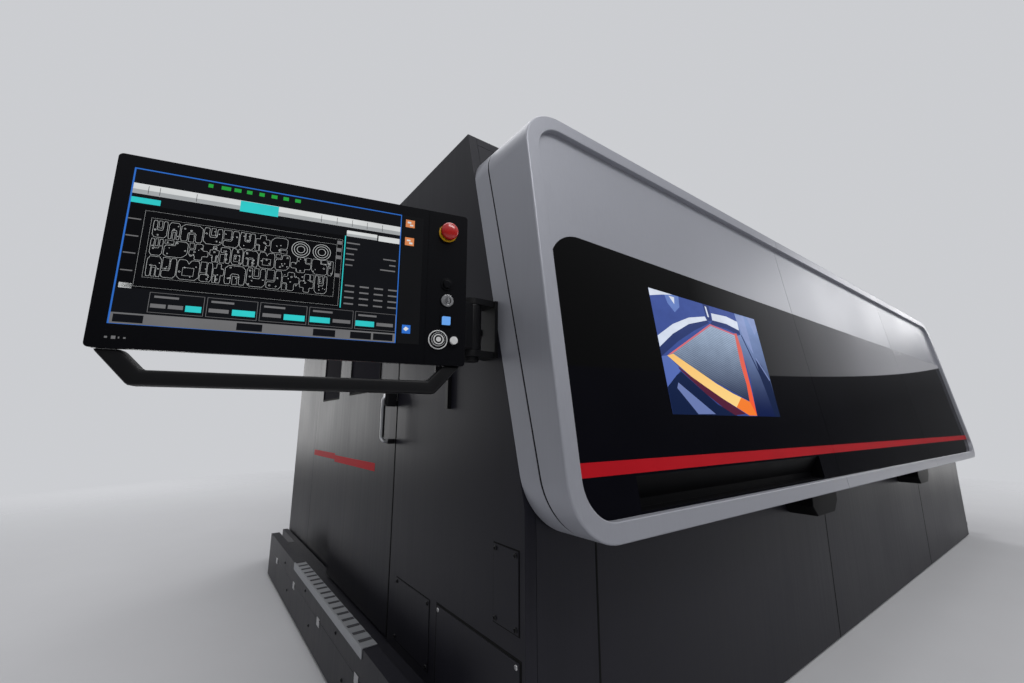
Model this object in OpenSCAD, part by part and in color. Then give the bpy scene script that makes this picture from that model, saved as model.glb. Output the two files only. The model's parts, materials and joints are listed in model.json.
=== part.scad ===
// Fiber laser cutting machine: an enclosed cutting cabin with a leaning ring front.
// Millimetres, X along the front, Y into the machine, Z up, floor at zero.

/* [Cabin] */
// Length of the cabin along its front
cabin_len = 5800; // [5400:10:6200]
// Depth of the cabin over its base frame
cabin_dep = 3235; // [3100:5:3400]
// Depth of the service bay behind the base frame
rear_bay = 220; // [180:5:260]
// Height of the roof above the floor
cabin_h = 2278; // [2240:2:2340]
// How far above the ring's lower edge the front wall starts to lean back
knee_rise = 78; // [58:1:98]
// How far the leaning front wall has gone back at the roof
front_lean = 361; // [330:1:390]
// Depth of a folded panel
wall = 40; // [34:1:46]
// Thickness of a panel's sheet
skin = 3; // [2:0.5:4]
// Distance of the access opening from the ring's ends and seam
access_side = 75; // [60:1:90]
// Distance of the access opening from the ring's lower edge
access_bottom = 138; // [120:1:160]
// Distance of the access opening from the ring's upper edge
access_top = 136; // [110:1:150]
// Open seam between neighbouring panels
seam = 3; // [2:0.5:4]
// Height of the panels' lower edge above the floor
floor_gap = 12; // [8:1:20]
// First skirt seam, from the left end
skirt_seam_1 = 281; // [240:1:320]
// Second skirt seam, from the left end
skirt_seam_2 = 2120; // [2000:5:2240]
// Third skirt seam, from the left end
skirt_seam_3 = 4168; // [4000:5:4300]

/* [Ring front] */
// Length of the ring
ring_len = 5596; // [5400:2:5620]
// Height of the ring
ring_h = 1394; // [1350:2:1410]
// Distance of the ring's upper edge below the roof
ring_drop = 82; // [60:1:100]
// How far the ring's lower edge stands in front of the skirt
ring_reach = 197; // [190:1:215]
// Lean of the ring's face
ring_lean = 8.19; // [7.6:0.01:8.6]
// Radius of the ring's upper corners
ring_r_top = 170; // [150:1:190]
// Radius of the ring's lower corners
ring_r_bot = 170; // [150:1:190]
// Width of the ring's face
ring_face = 57; // [50:1:66]
// Thickness of the ring's shell
ring_skin = 4; // [3:0.5:5]
// Width of the ring's rear flange
ring_flange = 40; // [34:1:46]
// Depth of the panels behind the ring's face
ring_recess = 22; // [16:1:26]
// Parting gap between the ring and its mounting frame
ring_gap = 8; // [6:0.5:10]
// Depth of the mounting frame behind the ring
frame_d = 88; // [80:1:96]
// Width of the mounting frame's flanges
frame_flange = 50; // [46:1:60]
// First ring seam, from the left end
ring_seam_1 = 1907; // [1880:1:1940]
// Second ring seam, from the left end
ring_seam_2 = 3862; // [3800:2:3920]
// Width of a bracket block under the ring
block_w = 315; // [280:1:340]
// Height of a bracket block
block_h = 112; // [100:1:125]
// Reach of a bracket block in front of the skirt
block_reach = 130; // [110:1:145]
// How far a bracket block runs past its seam
block_past = 26; // [15:1:35]

/* [Front panels] */
// Height of the gloss panel's upper edge above the ring's lower edge
panel_rise = 931; // [900:1:955]
// Radius of the gloss panel's upper left corner
panel_r = 150; // [130:1:170]
// Thickness of the gloss panel
panel_t = 6; // [5:0.5:8]
// Thickness of the fascia sheet
fascia_t = 3; // [2:0.5:4]
// Width of the fascia that is clamped behind the ring's lip
fascia_tuck = 15; // [10:1:18]
// Height of the stripe's lower edge above the ring's lower edge
stripe_rise = 171; // [168:1:188]
// Height of the stripe
stripe_h = 39; // [30:1:48]
// Thickness of the stripe
stripe_t = 1; // [0.8:0.1:1.5]
// Left edge of the monitor, from the left end
monitor_x = 551; // [520:1:580]
// Height of the monitor's lower edge above the ring's lower edge
monitor_rise = 348; // [320:1:376]
// Width of the monitor's picture
monitor_w = 837; // [800:1:870]
// Height of the monitor's picture
monitor_h = 472; // [450:1:490]
// Depth of the monitor's housing
monitor_d = 40; // [30:1:46]
// Border of the monitor's housing behind the panel
monitor_rim = 20; // [14:1:26]
// Left edge of the grip pocket, from the left end
pocket_x = 301; // [260:1:340]
// Width of the grip pocket
pocket_w = 1398; // [1300:2:1440]
// Height of the grip pocket's upper edge above the ring's lower edge
pocket_rise = 163; // [150:1:165]
// Depth of the grip pocket
pocket_d = 50; // [36:1:52]
// Thickness of the grip pocket's sheet
pocket_t = 3; // [2:0.5:4]

/* [Lift door hinges] */
// Number of hinges along the lift door
hinge_n = 3; // [2:1:5]
// Length of one hinge
hinge_w = 150; // [120:2:180]
// Radius of a hinge knuckle
hinge_r = 9; // [8:0.5:11]
// Radius of a hinge pin
hinge_pin_r = 5; // [4:0.5:6]
// Depth of a hinge leaf
hinge_leaf = 60; // [50:1:70]
// Thickness of a hinge leaf
hinge_t = 4; // [3:0.5:5]
// Distance of the first and last hinge from the door's ends
hinge_inset = 300; // [200:5:400]

/* [Operator door] */
// Leading edge of the sliding door, from the front skirt
door_front = 961; // [940:1:990]
// Width of the sliding door
door_w = 1008; // [980:2:1030]
// Height of the door's lower edge
door_lo = 223; // [216:1:235]
// Distance of the door's upper edge below the roof
header_h = 198; // [180:1:226]
// How far the rear panel sits behind the door's face
rear_recess = 50; // [48:1:60]
// How far the rear panel reaches behind the door
rear_lap = 30; // [20:1:40]
// Clear height between the door and the header
door_gap = 4; // [3:0.5:6]
// Distance of the door's window from its leading edge
window_in = 263; // [240:1:290]
// Width of the door's window
window_w = 498; // [470:2:520]
// Width of the rear panel's window
rear_window_w = 431; // [410:1:455]
// Distance of the rear window behind the door
rear_window_gap = 185; // [170:1:200]
// Distance of the windows' upper edge below the door's upper edge
window_drop = 357; // [330:1:380]
// Height of the windows
window_h = 420; // [380:2:440]
// Distance of the rear panel's seam from the door
rear_seam = 783; // [750:1:815]
// Thickness of a window pane
pane_t = 8; // [6:0.5:10]
// Length of the sliding door's travel
door_travel = 950; // [900:5:960]
// Height of the pull handle's lower foot
handle_lo = 1040; // [1020:1:1060]
// Length of the pull handle
handle_len = 208; // [190:1:220]
// Reach of the pull handle
handle_reach = 62; // [50:1:70]
// Radius of the pull handle's bar
handle_r = 8; // [7:0.5:10]
// Distance of the pull handle from the door's leading edge
handle_in = 26; // [22:1:34]

/* [Step] */
// Reach of the step from the left end
step_reach = 168; // [150:1:185]
// Height of the step's outer rail
step_h = 296; // [280:1:310]
// Width of the step's outer rail
rail_w = 56; // [50:1:62]
// Height of the step's deck
deck_h = 212; // [200:1:214]
// Front end of the step, from the front skirt
step_front = 437; // [400:1:480]
// Length of the step
step_len = 2504; // [2400:2:2600]
// Front end of the ribbed tread, from the front skirt
tread_front = 765; // [740:1:790]
// Length of the ribbed tread
tread_len = 1267; // [1200:1:1320]
// Number of ribs on the tread
tread_ribs = 17; // [14:1:20]
// Thickness of the tread
tread_t = 4; // [3:0.5:6]

/* [Service covers] */
// Thickness of a service cover
cover_t = 3; // [2:0.5:4]
// Front edge of the large cover, from the front skirt
cover_large_front = 24; // [18:1:30]
// Width of the large cover
cover_large_w = 480; // [460:1:500]
// Height of the large cover's upper edge
cover_large_top = 487; // [470:1:500]
// Front edge of the small cover, from the front skirt
cover_small_front = 566; // [550:1:580]
// Width of the small cover
cover_small_w = 310; // [290:1:330]
// Height of the small cover's upper edge
cover_small_top = 483; // [470:1:500]
// Front edge of the tall cover, from the front skirt
cover_tall_front = 27; // [20:1:34]
// Width of the tall cover
cover_tall_w = 123; // [110:1:140]
// Height of the tall cover's lower edge
cover_tall_lo = 552; // [540:1:565]
// Height of the tall cover
cover_tall_h = 213; // [200:1:225]

/* [Console] */
// Width of the console
console_w = 660; // [640:1:690]
// Height of the console
console_h = 360; // [345:1:375]
// Depth of the console's shell
console_d = 84; // [76:1:96]
// Thickness of the console's front plate
console_plate = 12; // [10:1:14]
// Radius of the console's corners
console_r = 8; // [6:1:12]
// Distance of the console's middle from the left end
console_out = 622; // [600:1:650]
// Distance of the console's face in front of the skirt
console_fwd = 89; // [70:1:110]
// Height of the console's middle
console_mid = 1422; // [1400:1:1450]
// Turn of the console towards the operator
console_turn = 14.1; // [10:0.1:20]
// Width of the display
display_w = 475; // [460:1:485]
// Height of the display
display_h = 296; // [285:1:300]
// Distance of the display from the console's left edge
display_x = 27; // [22:1:34]
// Distance of the display from the console's upper edge
display_z = 23; // [20:1:28]
// Drop of the handle bar below the console
bar_drop = 62; // [52:1:72]
// Height of the handle bar
bar_h = 28; // [24:1:32]
// Depth of the handle bar
bar_d = 30; // [24:1:36]
// Distance of the arm's pivot from the left end
pivot_out = 80; // [75:1:95]
// Distance of the arm's pivot behind the skirt
pivot_back = 178; // [165:1:190]
// Radius of the pivot pins
pivot_r = 14; // [12:0.5:16]
// Radius of the arm's hubs
hub_r = 34; // [30:1:36]
// Height of the arm
arm_h = 150; // [120:2:170]
// Thickness of the arm
arm_t = 52; // [44:1:58]
// Thickness of a pivot ear
ear_t = 20; // [16:1:24]
// Distance of the console's swivel behind its face
swivel_back = 150; // [140:1:170]
// Distance of the console's swivel from its middle
swivel_x = 90; // [60:1:120]

/* [Controls] */
// Radius of the emergency stop's mushroom head
estop_r = 20; // [18:0.5:22]
// Radius of a small round button
button_r = 9; // [8:0.5:10]
// Radius of the ringed start button
start_r = 15; // [13:0.5:16]
// Half width of the square lit button
square_r = 9; // [8:0.5:10]
// Travel of a button
press = 4; // [3:0.5:5]
// Running gap round a button
button_gap = 0.4; // [0.3:0.05:0.5]
// Height of a button above its collar at rest
button_up = 6; // [5:0.5:8]
// Height of a collar above the front plate
collar_h = 3; // [2:0.5:4]
// Width of a collar's rim
collar_w = 4; // [3:0.5:4]
// Distance of the control line from the console's right edge
strip_in = 46; // [40:1:52]
// Distance of the emergency stop from the upper edge
estop_drop = 50; // [44:1:60]
// Distance of the dark button from the upper edge
dark_drop = 175; // [165:1:185]
// Distance of the key switch from the upper edge
key_drop = 213; // [205:1:220]
// Distance of the square button from the upper edge
square_drop = 260; // [250:1:270]
// Distance of the start and white buttons from the upper edge
start_drop = 304; // [298:1:312]
// Distance of the start button from the right edge
start_in = 63; // [58:1:68]
// Distance of the white button from the right edge
white_in = 28; // [25:1:31]

/* [Bed and pallet] */
// Gap between the pallet and a bed beam
bed_gap = 85; // [70:1:110]
// Width of a bed beam
bed_beam_w = 180; // [160:2:200]
// Height of the bed beams' top
bed_top = 760; // [740:2:780]
// Height of the base frame's lower side
base_lo = 60; // [50:1:70]
// Height of the base frame's members
base_h = 140; // [120:2:150]
// Width of a sill beam
sill_w = 100; // [90:1:120]
// Reach of the sill beams past the right end
sill_reach = 280; // [240:2:300]
// Number of cross members
cross_n = 5; // [5:2:9]
// Left end of the pallet, from the left end of the cabin
pallet_x = 550; // [520:2:600]
// Length of the pallet
pallet_len = 3200; // [3100:5:3260]
// Width of the pallet
pallet_w = 1650; // [1600:5:1700]
// Height of the pallet's lower side
pallet_lo = 800; // [790:1:812]
// Size of the pallet's tubes
pallet_tube = 80; // [70:1:90]
// Number of slats
slat_n = 30; // [24:1:34]
// Height of a slat
slat_h = 110; // [100:1:120]
// Thickness of a slat
slat_t = 4; // [3:0.5:6]
// Number of teeth on a slat
slat_teeth = 18; // [14:1:20]
// Height of the slats' teeth
tooth_h = 30; // [24:1:36]
// Ledge that carries the slats
ledge = 12; // [10:1:16]
// Distance of a pallet rail's middle from the pallet's side
rail_inset = 125; // [100:1:150]
// Thickness of a pallet rail
pallet_rail_t = 30; // [24:1:36]
// Radius of a levelling pad
pad_r = 46; // [40:1:48]
// Height of a levelling pad
pad_h = 20; // [16:1:24]
// Radius of a levelling stud
stud_r = 12; // [10:0.5:14]

/* [Gantry] */
// Width of a guide rail
guide_w = 30; // [26:1:34]
// Height of a guide rail
guide_h = 28; // [24:1:32]
// Running clearance of the guides
guide_gap = 0.3; // [0.3:0.05:0.4]
// Middle of the gantry, from the left end
gantry_x = 3500; // [3440:5:3560]
// Length of a gantry leg along the guide
leg_len = 420; // [380:2:460]
// Height of the gantry beam's lower side
beam_lo = 1150; // [1130:2:1180]
// Height of the gantry beam
beam_h = 280; // [260:2:300]
// Width of the gantry beam
beam_w = 200; // [180:2:220]
// Wall of the gantry beam
beam_t = 12; // [10:1:16]
// Width of the head carriage
carriage_w = 260; // [240:2:280]
// Height of the head carriage
carriage_h = 320; // [310:2:340]
// Thickness of the head carriage
carriage_t = 50; // [44:1:56]
// Height of the nozzle's tip at rest
nozzle_h = 1080; // [1070:1:1095]

/* [Right end and back] */
// Width of the pallet doorway
gate_w = 1800; // [1760:5:1840]
// Height of the pallet doorway's lower edge
gate_lo = 700; // [690:1:715]
// Height of the pallet doorway
gate_h = 400; // [380:2:420]
// Lap of the shutter over the doorway
gate_lap = 30; // [24:1:36]
// Thickness of the shutter
shutter_t = 25; // [20:1:30]
// Travel of the shutter
shutter_travel = 420; // [400:2:430]
// Number of back wall panels
back_n = 4; // [3:1:6]
// Number of roof panels
roof_n = 4; // [3:1:6]
// Radius of the exhaust spigot
exhaust_r = 150; // [125:1:175]
// Length of the exhaust spigot
exhaust_len = 120; // [100:1:140]
// Wall of the exhaust spigot
exhaust_t = 4; // [3:0.5:5]
// Distance of the exhaust spigot's middle below the roof
exhaust_drop = 578; // [530:2:620]

/* [Hidden] */
$fn = 64;
// Gap between fixed pieces that meet
fit = 0.5;
// Gap between a moving piece and its seat
clear = 0.4;
// Radial clearance of a pin in its bore
pin_gap = 0.05;
// Overshoot of a cut
over = 1;

xl = -cabin_len / 2;
xr = cabin_len / 2;
yf = -cabin_dep / 2;
yb = cabin_dep / 2 + rear_bay;
ring_hi = cabin_h - ring_drop;
ring_lo = ring_hi - ring_h;
knee_h = ring_lo + knee_rise;
lean_k = front_lean / (cabin_h - knee_h);
panel_top = ring_lo + panel_rise;
ring_end = xl + ring_len;
s1 = xl + ring_seam_1;
s2 = xl + ring_seam_2;
za = ring_lo - 10 * over;
zb = ring_hi + 10 * over;
y_near = yf - 2 * ring_reach;
y_far = yf + front_lean;
panel_d = ring_recess + panel_t;

// Planes of the front, as depth at a height
function wall_y(z) = yf + lean_k * (z - knee_h);
function rear_y(z) = wall_y(z) - frame_d - ring_gap;
function front_y(z) = yf - ring_reach + tan(ring_lean) * (z - ring_lo);
// A point of the ring's face plane, moved back by d
function face_pt(z, d) = [front_y(z) + d, z];
function face_band(z0, z1, d0, d1) = [face_pt(z0, d0), face_pt(z1, d0), face_pt(z1, d1), face_pt(z0, d1)];
function wall_band(z0, z1, d0, d1) =
    [[wall_y(z0) + d0, z0], [wall_y(z1) + d0, z1], [wall_y(z1) + d1, z1], [wall_y(z0) + d1, z0]];
function ring_wedge(d0, e1) =
    [face_pt(za, d0), face_pt(zb, d0), [rear_y(zb) + e1, zb], [rear_y(za) + e1, za]];

module box(lo, hi) {
    translate(lo) cube(hi - lo);
}
// Folded sheet panel: a box with its back open towards one side
module pan(lo, hi, open) {
    difference() {
        box(lo, hi);
        box([for (i = [0:2]) lo[i] + (open[i] < 0 ? -over : skin)],
            [for (i = [0:2]) hi[i] + (open[i] > 0 ? over : -skin)]);
    }
}
// Section drawn in Y and Z, run along X
module yz(x0, x1) {
    translate([x0, 0, 0]) rotate([90, 0, 90]) linear_extrude(x1 - x0) children();
}
// Outline drawn in X and Z, run along Y
module xz(y0, y1) {
    translate([0, y1, 0]) rotate([90, 0, 0]) linear_extrude(y1 - y0) children();
}
// Rectangle with its own radii at the lower and upper corners
module round_rect(x0, x1, z0, z1, rb, rt) {
    polygon([[x0 + rb, z0], [x1 - rb, z0], [x1, z0 + rb], [x1, z1 - rt],
        [x1 - rt, z1], [x0 + rt, z1], [x0, z1 - rt], [x0, z0 + rb]]);
    for (x = [x0 + rb, x1 - rb]) translate([x, z0 + rb]) circle(rb);
    for (x = [x0 + rt, x1 - rt]) translate([x, z1 - rt]) circle(rt);
}
// The ring's outline, drawn in by inset
module outline(inset) {
    round_rect(xl + inset, ring_end - inset, ring_lo + inset, ring_hi - inset,
        ring_r_bot - inset, ring_r_top - inset);
}
// The gloss panel's outline, grown all round: its upper right corner is square
module panel_outline(grow) {
    x0 = xl + ring_face - grow;
    x1 = ring_end - ring_face + grow;
    z0 = ring_lo + ring_face - grow;
    z1 = panel_top + grow;
    rb = ring_r_bot - ring_face + grow;
    rt = panel_r + grow;
    polygon([[x0 + rb, z0], [x1 - rb, z0], [x1, z0 + rb], [x1, z1],
        [x0 + rt, z1], [x0, z1 - rt], [x0, z0 + rb]]);
    for (x = [x0 + rb, x1 - rb]) translate([x, z0 + rb]) circle(rb);
    translate([x0 + rt, z1 - rt]) circle(rt);
}
module ring_solid(inset, d0, e1, x0, x1) {
    intersection() {
        xz(y_near, y_far) outline(inset);
        yz(x0, x1) polygon(ring_wedge(d0, e1));
    }
}
module face_solid(inset, d0, d1, x0, x1) {
    intersection() {
        xz(y_near, y_far) outline(inset);
        yz(x0, x1) polygon(face_band(za, zb, d0, d1));
    }
}
module seat_solid(inset, d0, d1) {
    intersection() {
        xz(y_near, y_far) outline(inset);
        yz(xl - over, ring_end + over) polygon(wall_band(za, zb, d0 - frame_d, d1 - frame_d));
    }
}
module panel_solid(grow, d0, d1, x0, x1) {
    intersection() {
        xz(y_near, y_far) panel_outline(grow);
        yz(x0, x1) polygon(face_band(za, zb, d0, d1));
    }
}
// Box that lies along the ring's face plane
module face_box(x0, x1, z0, z1, d0, d1) {
    yz(x0, x1) polygon(face_band(z0, z1, d0, d1));
}

// Base, pallet and motion
bed_gauge = pallet_w + 2 * bed_gap + bed_beam_w;
pallet_gauge = pallet_w - 2 * rail_inset;
cross_x0 = xl + rear_recess + wall + fit;
cross_x1 = -cross_x0;
cross_step = (cross_x1 - cross_x0 - sill_w) / (cross_n - 1);
sill_y = cabin_dep / 2 - wall - sill_w / 2;
base_top = base_lo + base_h;
dock_len = 3 * sill_w;
dock_hole_r = 11;
dock_hole_in = 60;
dock_hole_gap = 160;
dock_t = 30;
cross_xs = [for (i = [0 : cross_n - 1]) cross_x0 + i * cross_step];

module base_frame() color([0.20, 0.21, 0.23]) {
    for (s = [-1, 1]) {
        sill(s * sill_y);
        box([cross_x0, s * bed_gauge / 2 - bed_beam_w / 2, base_top + fit],
            [cross_x1, s * bed_gauge / 2 + bed_beam_w / 2, bed_top]);
        pallet_rail(s * pallet_gauge / 2);
    }
    for (x = cross_xs)
        box([x, sill_w / 2 + fit - sill_y, base_lo], [x + sill_w, sill_y - sill_w / 2 - fit, base_top]);
}
// Sill beam with a drilled dock plate at its right end
module sill(y) {
    difference() {
        union() {
            box([cross_x0, y - sill_w / 2, base_lo], [cross_x1, y + sill_w / 2, base_top]);
            box([cross_x1 - dock_len, y - sill_w / 2, base_lo],
                [xr + sill_reach, y + sill_w / 2, base_lo + dock_t]);
        }
        for (i = [0, 1])
            translate([xr + sill_reach - dock_hole_in - i * dock_hole_gap, y, base_lo - over])
                cylinder(h = dock_t + 2 * over, r = dock_hole_r);
    }
}
// Rail that carries the pallet, on a post at each cross member
module pallet_rail(y) {
    box([cross_x0, y - pallet_rail_t / 2, pallet_lo - pallet_tube],
        [cross_x1, y + pallet_rail_t / 2, pallet_lo]);
    for (x = cross_xs)
        box([x, y - pallet_rail_t / 2, base_top + fit],
            [x + sill_w, y + pallet_rail_t / 2, pallet_lo - pallet_tube - fit]);
}
module levelling_pads() color([0.35, 0.36, 0.38]) {
    for (x = cross_xs, s = [-1, 0, 1])
        translate([x + sill_w / 2, s * sill_y, 0]) {
            cylinder(h = pad_h, r1 = pad_r, r2 = pad_r - pad_h / 4);
            cylinder(h = base_lo, r = stud_r);
            translate([0, 0, base_lo - stud_r]) cylinder(h = stud_r, r = 2 * stud_r, $fn = 6);
        }
}
px0 = xl + pallet_x;
px1 = px0 + pallet_len;
module pallet_frame() color([0.85, 0.42, 0.10]) {
    difference() {
        box([px0, -pallet_w / 2, pallet_lo], [px1, pallet_w / 2, pallet_lo + pallet_tube]);
        box([px0 + pallet_tube, -pallet_w / 2 + pallet_tube, pallet_lo + ledge],
            [px1 - pallet_tube, pallet_w / 2 - pallet_tube, pallet_lo + pallet_tube + over]);
        box([px0 + pallet_tube, -pallet_w / 2 + pallet_tube + 2 * ledge, pallet_lo - over],
            [px1 - pallet_tube, pallet_w / 2 - pallet_tube - 2 * ledge, pallet_lo + pallet_tube]);
    }
}
slat_len = pallet_w - 2 * pallet_tube - 2 * fit;
slat_pitch = (pallet_len - 2 * pallet_tube) / slat_n;
tooth = slat_len / slat_teeth;
module slat() {
    z1 = slat_h;
    yz(0, slat_t) polygon(concat([[slat_len / 2, 0], [-slat_len / 2, 0]],
        [for (i = [0 : slat_teeth - 1], k = [0, 1])
            [-slat_len / 2 + (i + k / 2) * tooth, k == 0 ? z1 - tooth_h : z1]],
        [[slat_len / 2, z1 - tooth_h]]));
}
module pallet_slats() color([0.42, 0.40, 0.38]) {
    for (i = [0 : slat_n - 1])
        translate([px0 + pallet_tube + (i + 0.5) * slat_pitch, 0, pallet_lo + ledge]) slat();
}
tray_h = 180;
module scrap_tray() color([0.30, 0.31, 0.33]) {
    half = pallet_gauge / 2 - pallet_rail_t / 2 - clear;
    pan([px0, -half, base_top], [px1, half, base_top + tray_h], [0, 0, 1]);
}
groove = guide_h / 4;
module guide_profile() {
    w = guide_w / 2;
    polygon([[-w, 0], [w, 0], [w, groove], [w - groove / 2, 2 * groove], [w, 3 * groove], [w, guide_h],
        [-w, guide_h], [-w, 3 * groove], [-w + groove / 2, 2 * groove], [-w, groove]]);
}
module x_guides() color([0.72, 0.74, 0.76]) {
    for (s = [-1, 1])
        translate([0, s * bed_gauge / 2, bed_top]) yz(cross_x0, cross_x1) guide_profile();
}
gx = xl + gantry_x;
leg_inset = 10;
leg_w = bed_beam_w - 2 * leg_inset;
leg_gap = 6;
beam_hi = beam_lo + beam_h;
leg_lap = 20;
leg_top_w = beam_w + 2 * leg_lap;
module gantry() color([0.80, 0.81, 0.83]) {
    difference() {
        union() {
            for (s = [-1, 1])
                xz(s * bed_gauge / 2 - leg_w / 2, s * bed_gauge / 2 + leg_w / 2)
                    polygon([[gx - leg_len / 2, bed_top + leg_gap], [gx + leg_len / 2, bed_top + leg_gap],
                        [gx + leg_len / 2, bed_top + leg_len / 2], [gx + leg_top_w / 2, beam_lo],
                        [gx + leg_top_w / 2, beam_hi], [gx - leg_top_w / 2, beam_hi],
                        [gx - leg_top_w / 2, beam_lo], [gx - leg_len / 2, bed_top + leg_len / 2]]);
            box([gx - beam_w / 2, -bed_gauge / 2, beam_lo], [gx + beam_w / 2, bed_gauge / 2, beam_hi]);
        }
        box([gx - beam_w / 2 + beam_t, -bed_gauge / 2 - leg_w, beam_lo + beam_t],
            [gx + beam_w / 2 - beam_t, bed_gauge / 2 + leg_w, beam_hi - beam_t]);
        for (s = [-1, 1])
            box([gx - leg_len, s * bed_gauge / 2 - guide_w / 2 - guide_gap, bed_top],
                [gx + leg_len, s * bed_gauge / 2 + guide_w / 2 + guide_gap, bed_top + guide_h + guide_gap]);
    }
}
guide_in = 55;
beam_face = gx - beam_w / 2;
guide_run = bed_gauge / 2 - leg_w / 2 - fit;
guide_zs = [beam_lo + guide_in, beam_hi - guide_in];
module y_guides() color([0.72, 0.74, 0.76]) {
    for (z = guide_zs)
        translate([beam_face, guide_run, z]) rotate([90, 0, 0]) linear_extrude(2 * guide_run)
            rotate(90) guide_profile();
}
carriage_x1 = beam_face - leg_gap;
carriage_x0 = carriage_x1 - carriage_t;
ram_w = 40;
ram_d = 16;
carriage_mid = (beam_lo + beam_hi) / 2;
module head_carriage() color([0.25, 0.26, 0.28]) {
    z0 = carriage_mid - carriage_h / 2;
    z1 = carriage_mid + carriage_h / 2;
    difference() {
        union() {
            box([carriage_x0, -carriage_w / 2, z0], [carriage_x1, carriage_w / 2, z1]);
            box([carriage_x0 - ram_d, -ram_w / 2, z0], [carriage_x0, ram_w / 2, z1]);
        }
        for (z = guide_zs)
            box([beam_face - guide_h - guide_gap, -carriage_w, z - guide_w / 2 - guide_gap],
                [beam_face, carriage_w, z + guide_w / 2 + guide_gap]);
    }
}
slide_w = 150;
slide_t = 46;
slide_x1 = carriage_x0 - clear;
slide_x0 = slide_x1 - slide_t;
head_top = carriage_mid + carriage_h / 2 - ram_w;
head_body_r = 46;
head_x = slide_x0 - head_body_r;
nozzle_len = 46;
tube_len = 90;
module head_slide() color([0.62, 0.64, 0.66]) {
    difference() {
        box([slide_x0, -slide_w / 2, nozzle_h + nozzle_len + tube_len], [slide_x1, slide_w / 2, head_top]);
        box([carriage_x0 - ram_d - clear, -ram_w / 2 - clear, nozzle_h],
            [carriage_x0, ram_w / 2 + clear, head_top + over]);
    }
}
module cutting_head() color([0.78, 0.79, 0.81]) {
    z0 = nozzle_h + nozzle_len;
    translate([head_x, 0, 0]) rotate_extrude()
        polygon([[0, z0], [head_body_r / 2, z0], [head_body_r * 0.7, z0 + tube_len / 2],
            [head_body_r * 0.7, z0 + tube_len], [head_body_r, z0 + tube_len + head_body_r / 4],
            [head_body_r, head_top], [head_body_r * 0.8, head_top + head_body_r / 3],
            [head_body_r * 0.8, head_top + head_body_r], [0, head_top + head_body_r]]);
}
tip_r = 4;
module nozzle() color([0.80, 0.52, 0.30]) {
    translate([head_x, 0, nozzle_h]) rotate_extrude()
        polygon([[0, 0], [tip_r, 0], [head_body_r * 0.3, nozzle_len * 0.6],
            [head_body_r * 0.45, nozzle_len * 0.6], [head_body_r * 0.45, nozzle_len], [0, nozzle_len]]);
}

// Cabin front
skirt_x = [xl + wall + fit, xl + skirt_seam_1, xl + skirt_seam_2, xl + skirt_seam_3, xr - wall - fit];
skirt_n = len(skirt_x) - 1;
module front_skirt() color([0.17, 0.17, 0.19]) {
    for (i = [0 : skirt_n - 1])
        pan([skirt_x[i] + (i == 0 ? 0 : seam / 2), yf, floor_gap],
            [skirt_x[i + 1] - (i == skirt_n - 1 ? 0 : seam / 2), yf + wall, knee_h], [0, 1, 0]);
}
access_x0 = xl + access_side;
access_x1 = s1 - access_side;
access_z0 = ring_lo + access_bottom;
access_z1 = ring_hi - access_top;
module lean_pan(x0, x1, z0, z1) {
    difference() {
        yz(x0, x1) polygon(wall_band(z0, z1, 0, wall));
        yz(x0 + skin, x1 - skin) polygon(wall_band(z0 + skin, z1 - skin, skin, wall + over));
    }
}
module front_wall() color([0.17, 0.17, 0.19]) {
    x0 = xl + wall + fit;
    x1 = xr - wall - fit;
    lean_pan(x0, x1, knee_h + fit, access_z0);
    lean_pan(x0, x1, access_z1, cabin_h - wall - fit);
    lean_pan(x0, access_x0, access_z0 + fit, access_z1 - fit);
    lean_pan(access_x1, x1, access_z0 + fit, access_z1 - fit);
}
module mounting_frame() color([0.55, 0.56, 0.58]) {
    back = frame_d - fit;
    difference() {
        seat_solid(0, 0, back);
        seat_solid(frame_flange, -over, frame_d + over);
        seat_solid(ring_skin, ring_skin, back - ring_skin);
    }
    intersection() {
        seat_solid(ring_skin, 0, back);
        box([s1 - frame_flange, y_near, za], [s1 + frame_flange, y_far, zb]);
    }
}
module ring_seal() color([0.05, 0.05, 0.05]) {
    difference() {
        seat_solid(2 * ring_skin, clear - ring_gap, 0);
        seat_solid(ring_flange - ring_skin, -ring_gap - over, over);
    }
}
module bracket_blocks() color([0.04, 0.04, 0.05]) {
    top = ring_lo - seam;
    cut = block_h * 0.45;
    for (x = [s1, s2])
        translate([x + block_past - block_w, 0, 0]) xz(yf - block_reach, yf)
            polygon([[0, top], [block_w, top], [block_w, top - block_h + cut], [block_w - cut, top - block_h],
                [cut, top - block_h], [0, top - block_h + cut]]);
}

// Ring sections and what they hold
module bezel(x0, x1, end0, end1) {
    hx0 = x0 + (end0 ? ring_skin : -over);
    hx1 = x1 - (end1 ? ring_skin : -over);
    difference() {
        ring_solid(0, 0, 0, x0, x1);
        ring_solid(ring_skin, ring_skin, -ring_skin, hx0, hx1);
        face_solid(ring_face, -over, panel_d + fit, x0 - over, x1 + over);
        face_solid(ring_face - fascia_tuck - fit, ring_recess, panel_d + fit, x0 - over, x1 + over);
        intersection() {
            xz(y_near, y_far) outline(ring_flange);
            yz(hx0, hx1)
                polygon(wall_band(za, zb, -frame_d - ring_gap - 2 * ring_skin, -frame_d - ring_gap + over));
        }
    }
    difference() {
        face_solid(ring_face - ring_skin, 0, ring_recess, x0, x1);
        face_solid(ring_face, -over, ring_recess + over, x0 - over, x1 + over);
    }
}
door_x1 = s1 - seam / 2;
mid_x0 = s1 + seam / 2;
mid_x1 = s2 - seam / 2;
right_x0 = s2 + seam / 2;
module bezel_door() color([0.72, 0.72, 0.74]) bezel(xl - over, door_x1, false, true);
module bezel_fixed() color([0.72, 0.72, 0.74]) {
    bezel(mid_x0, mid_x1, true, true);
    bezel(right_x0, ring_end + over, true, false);
}
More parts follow.
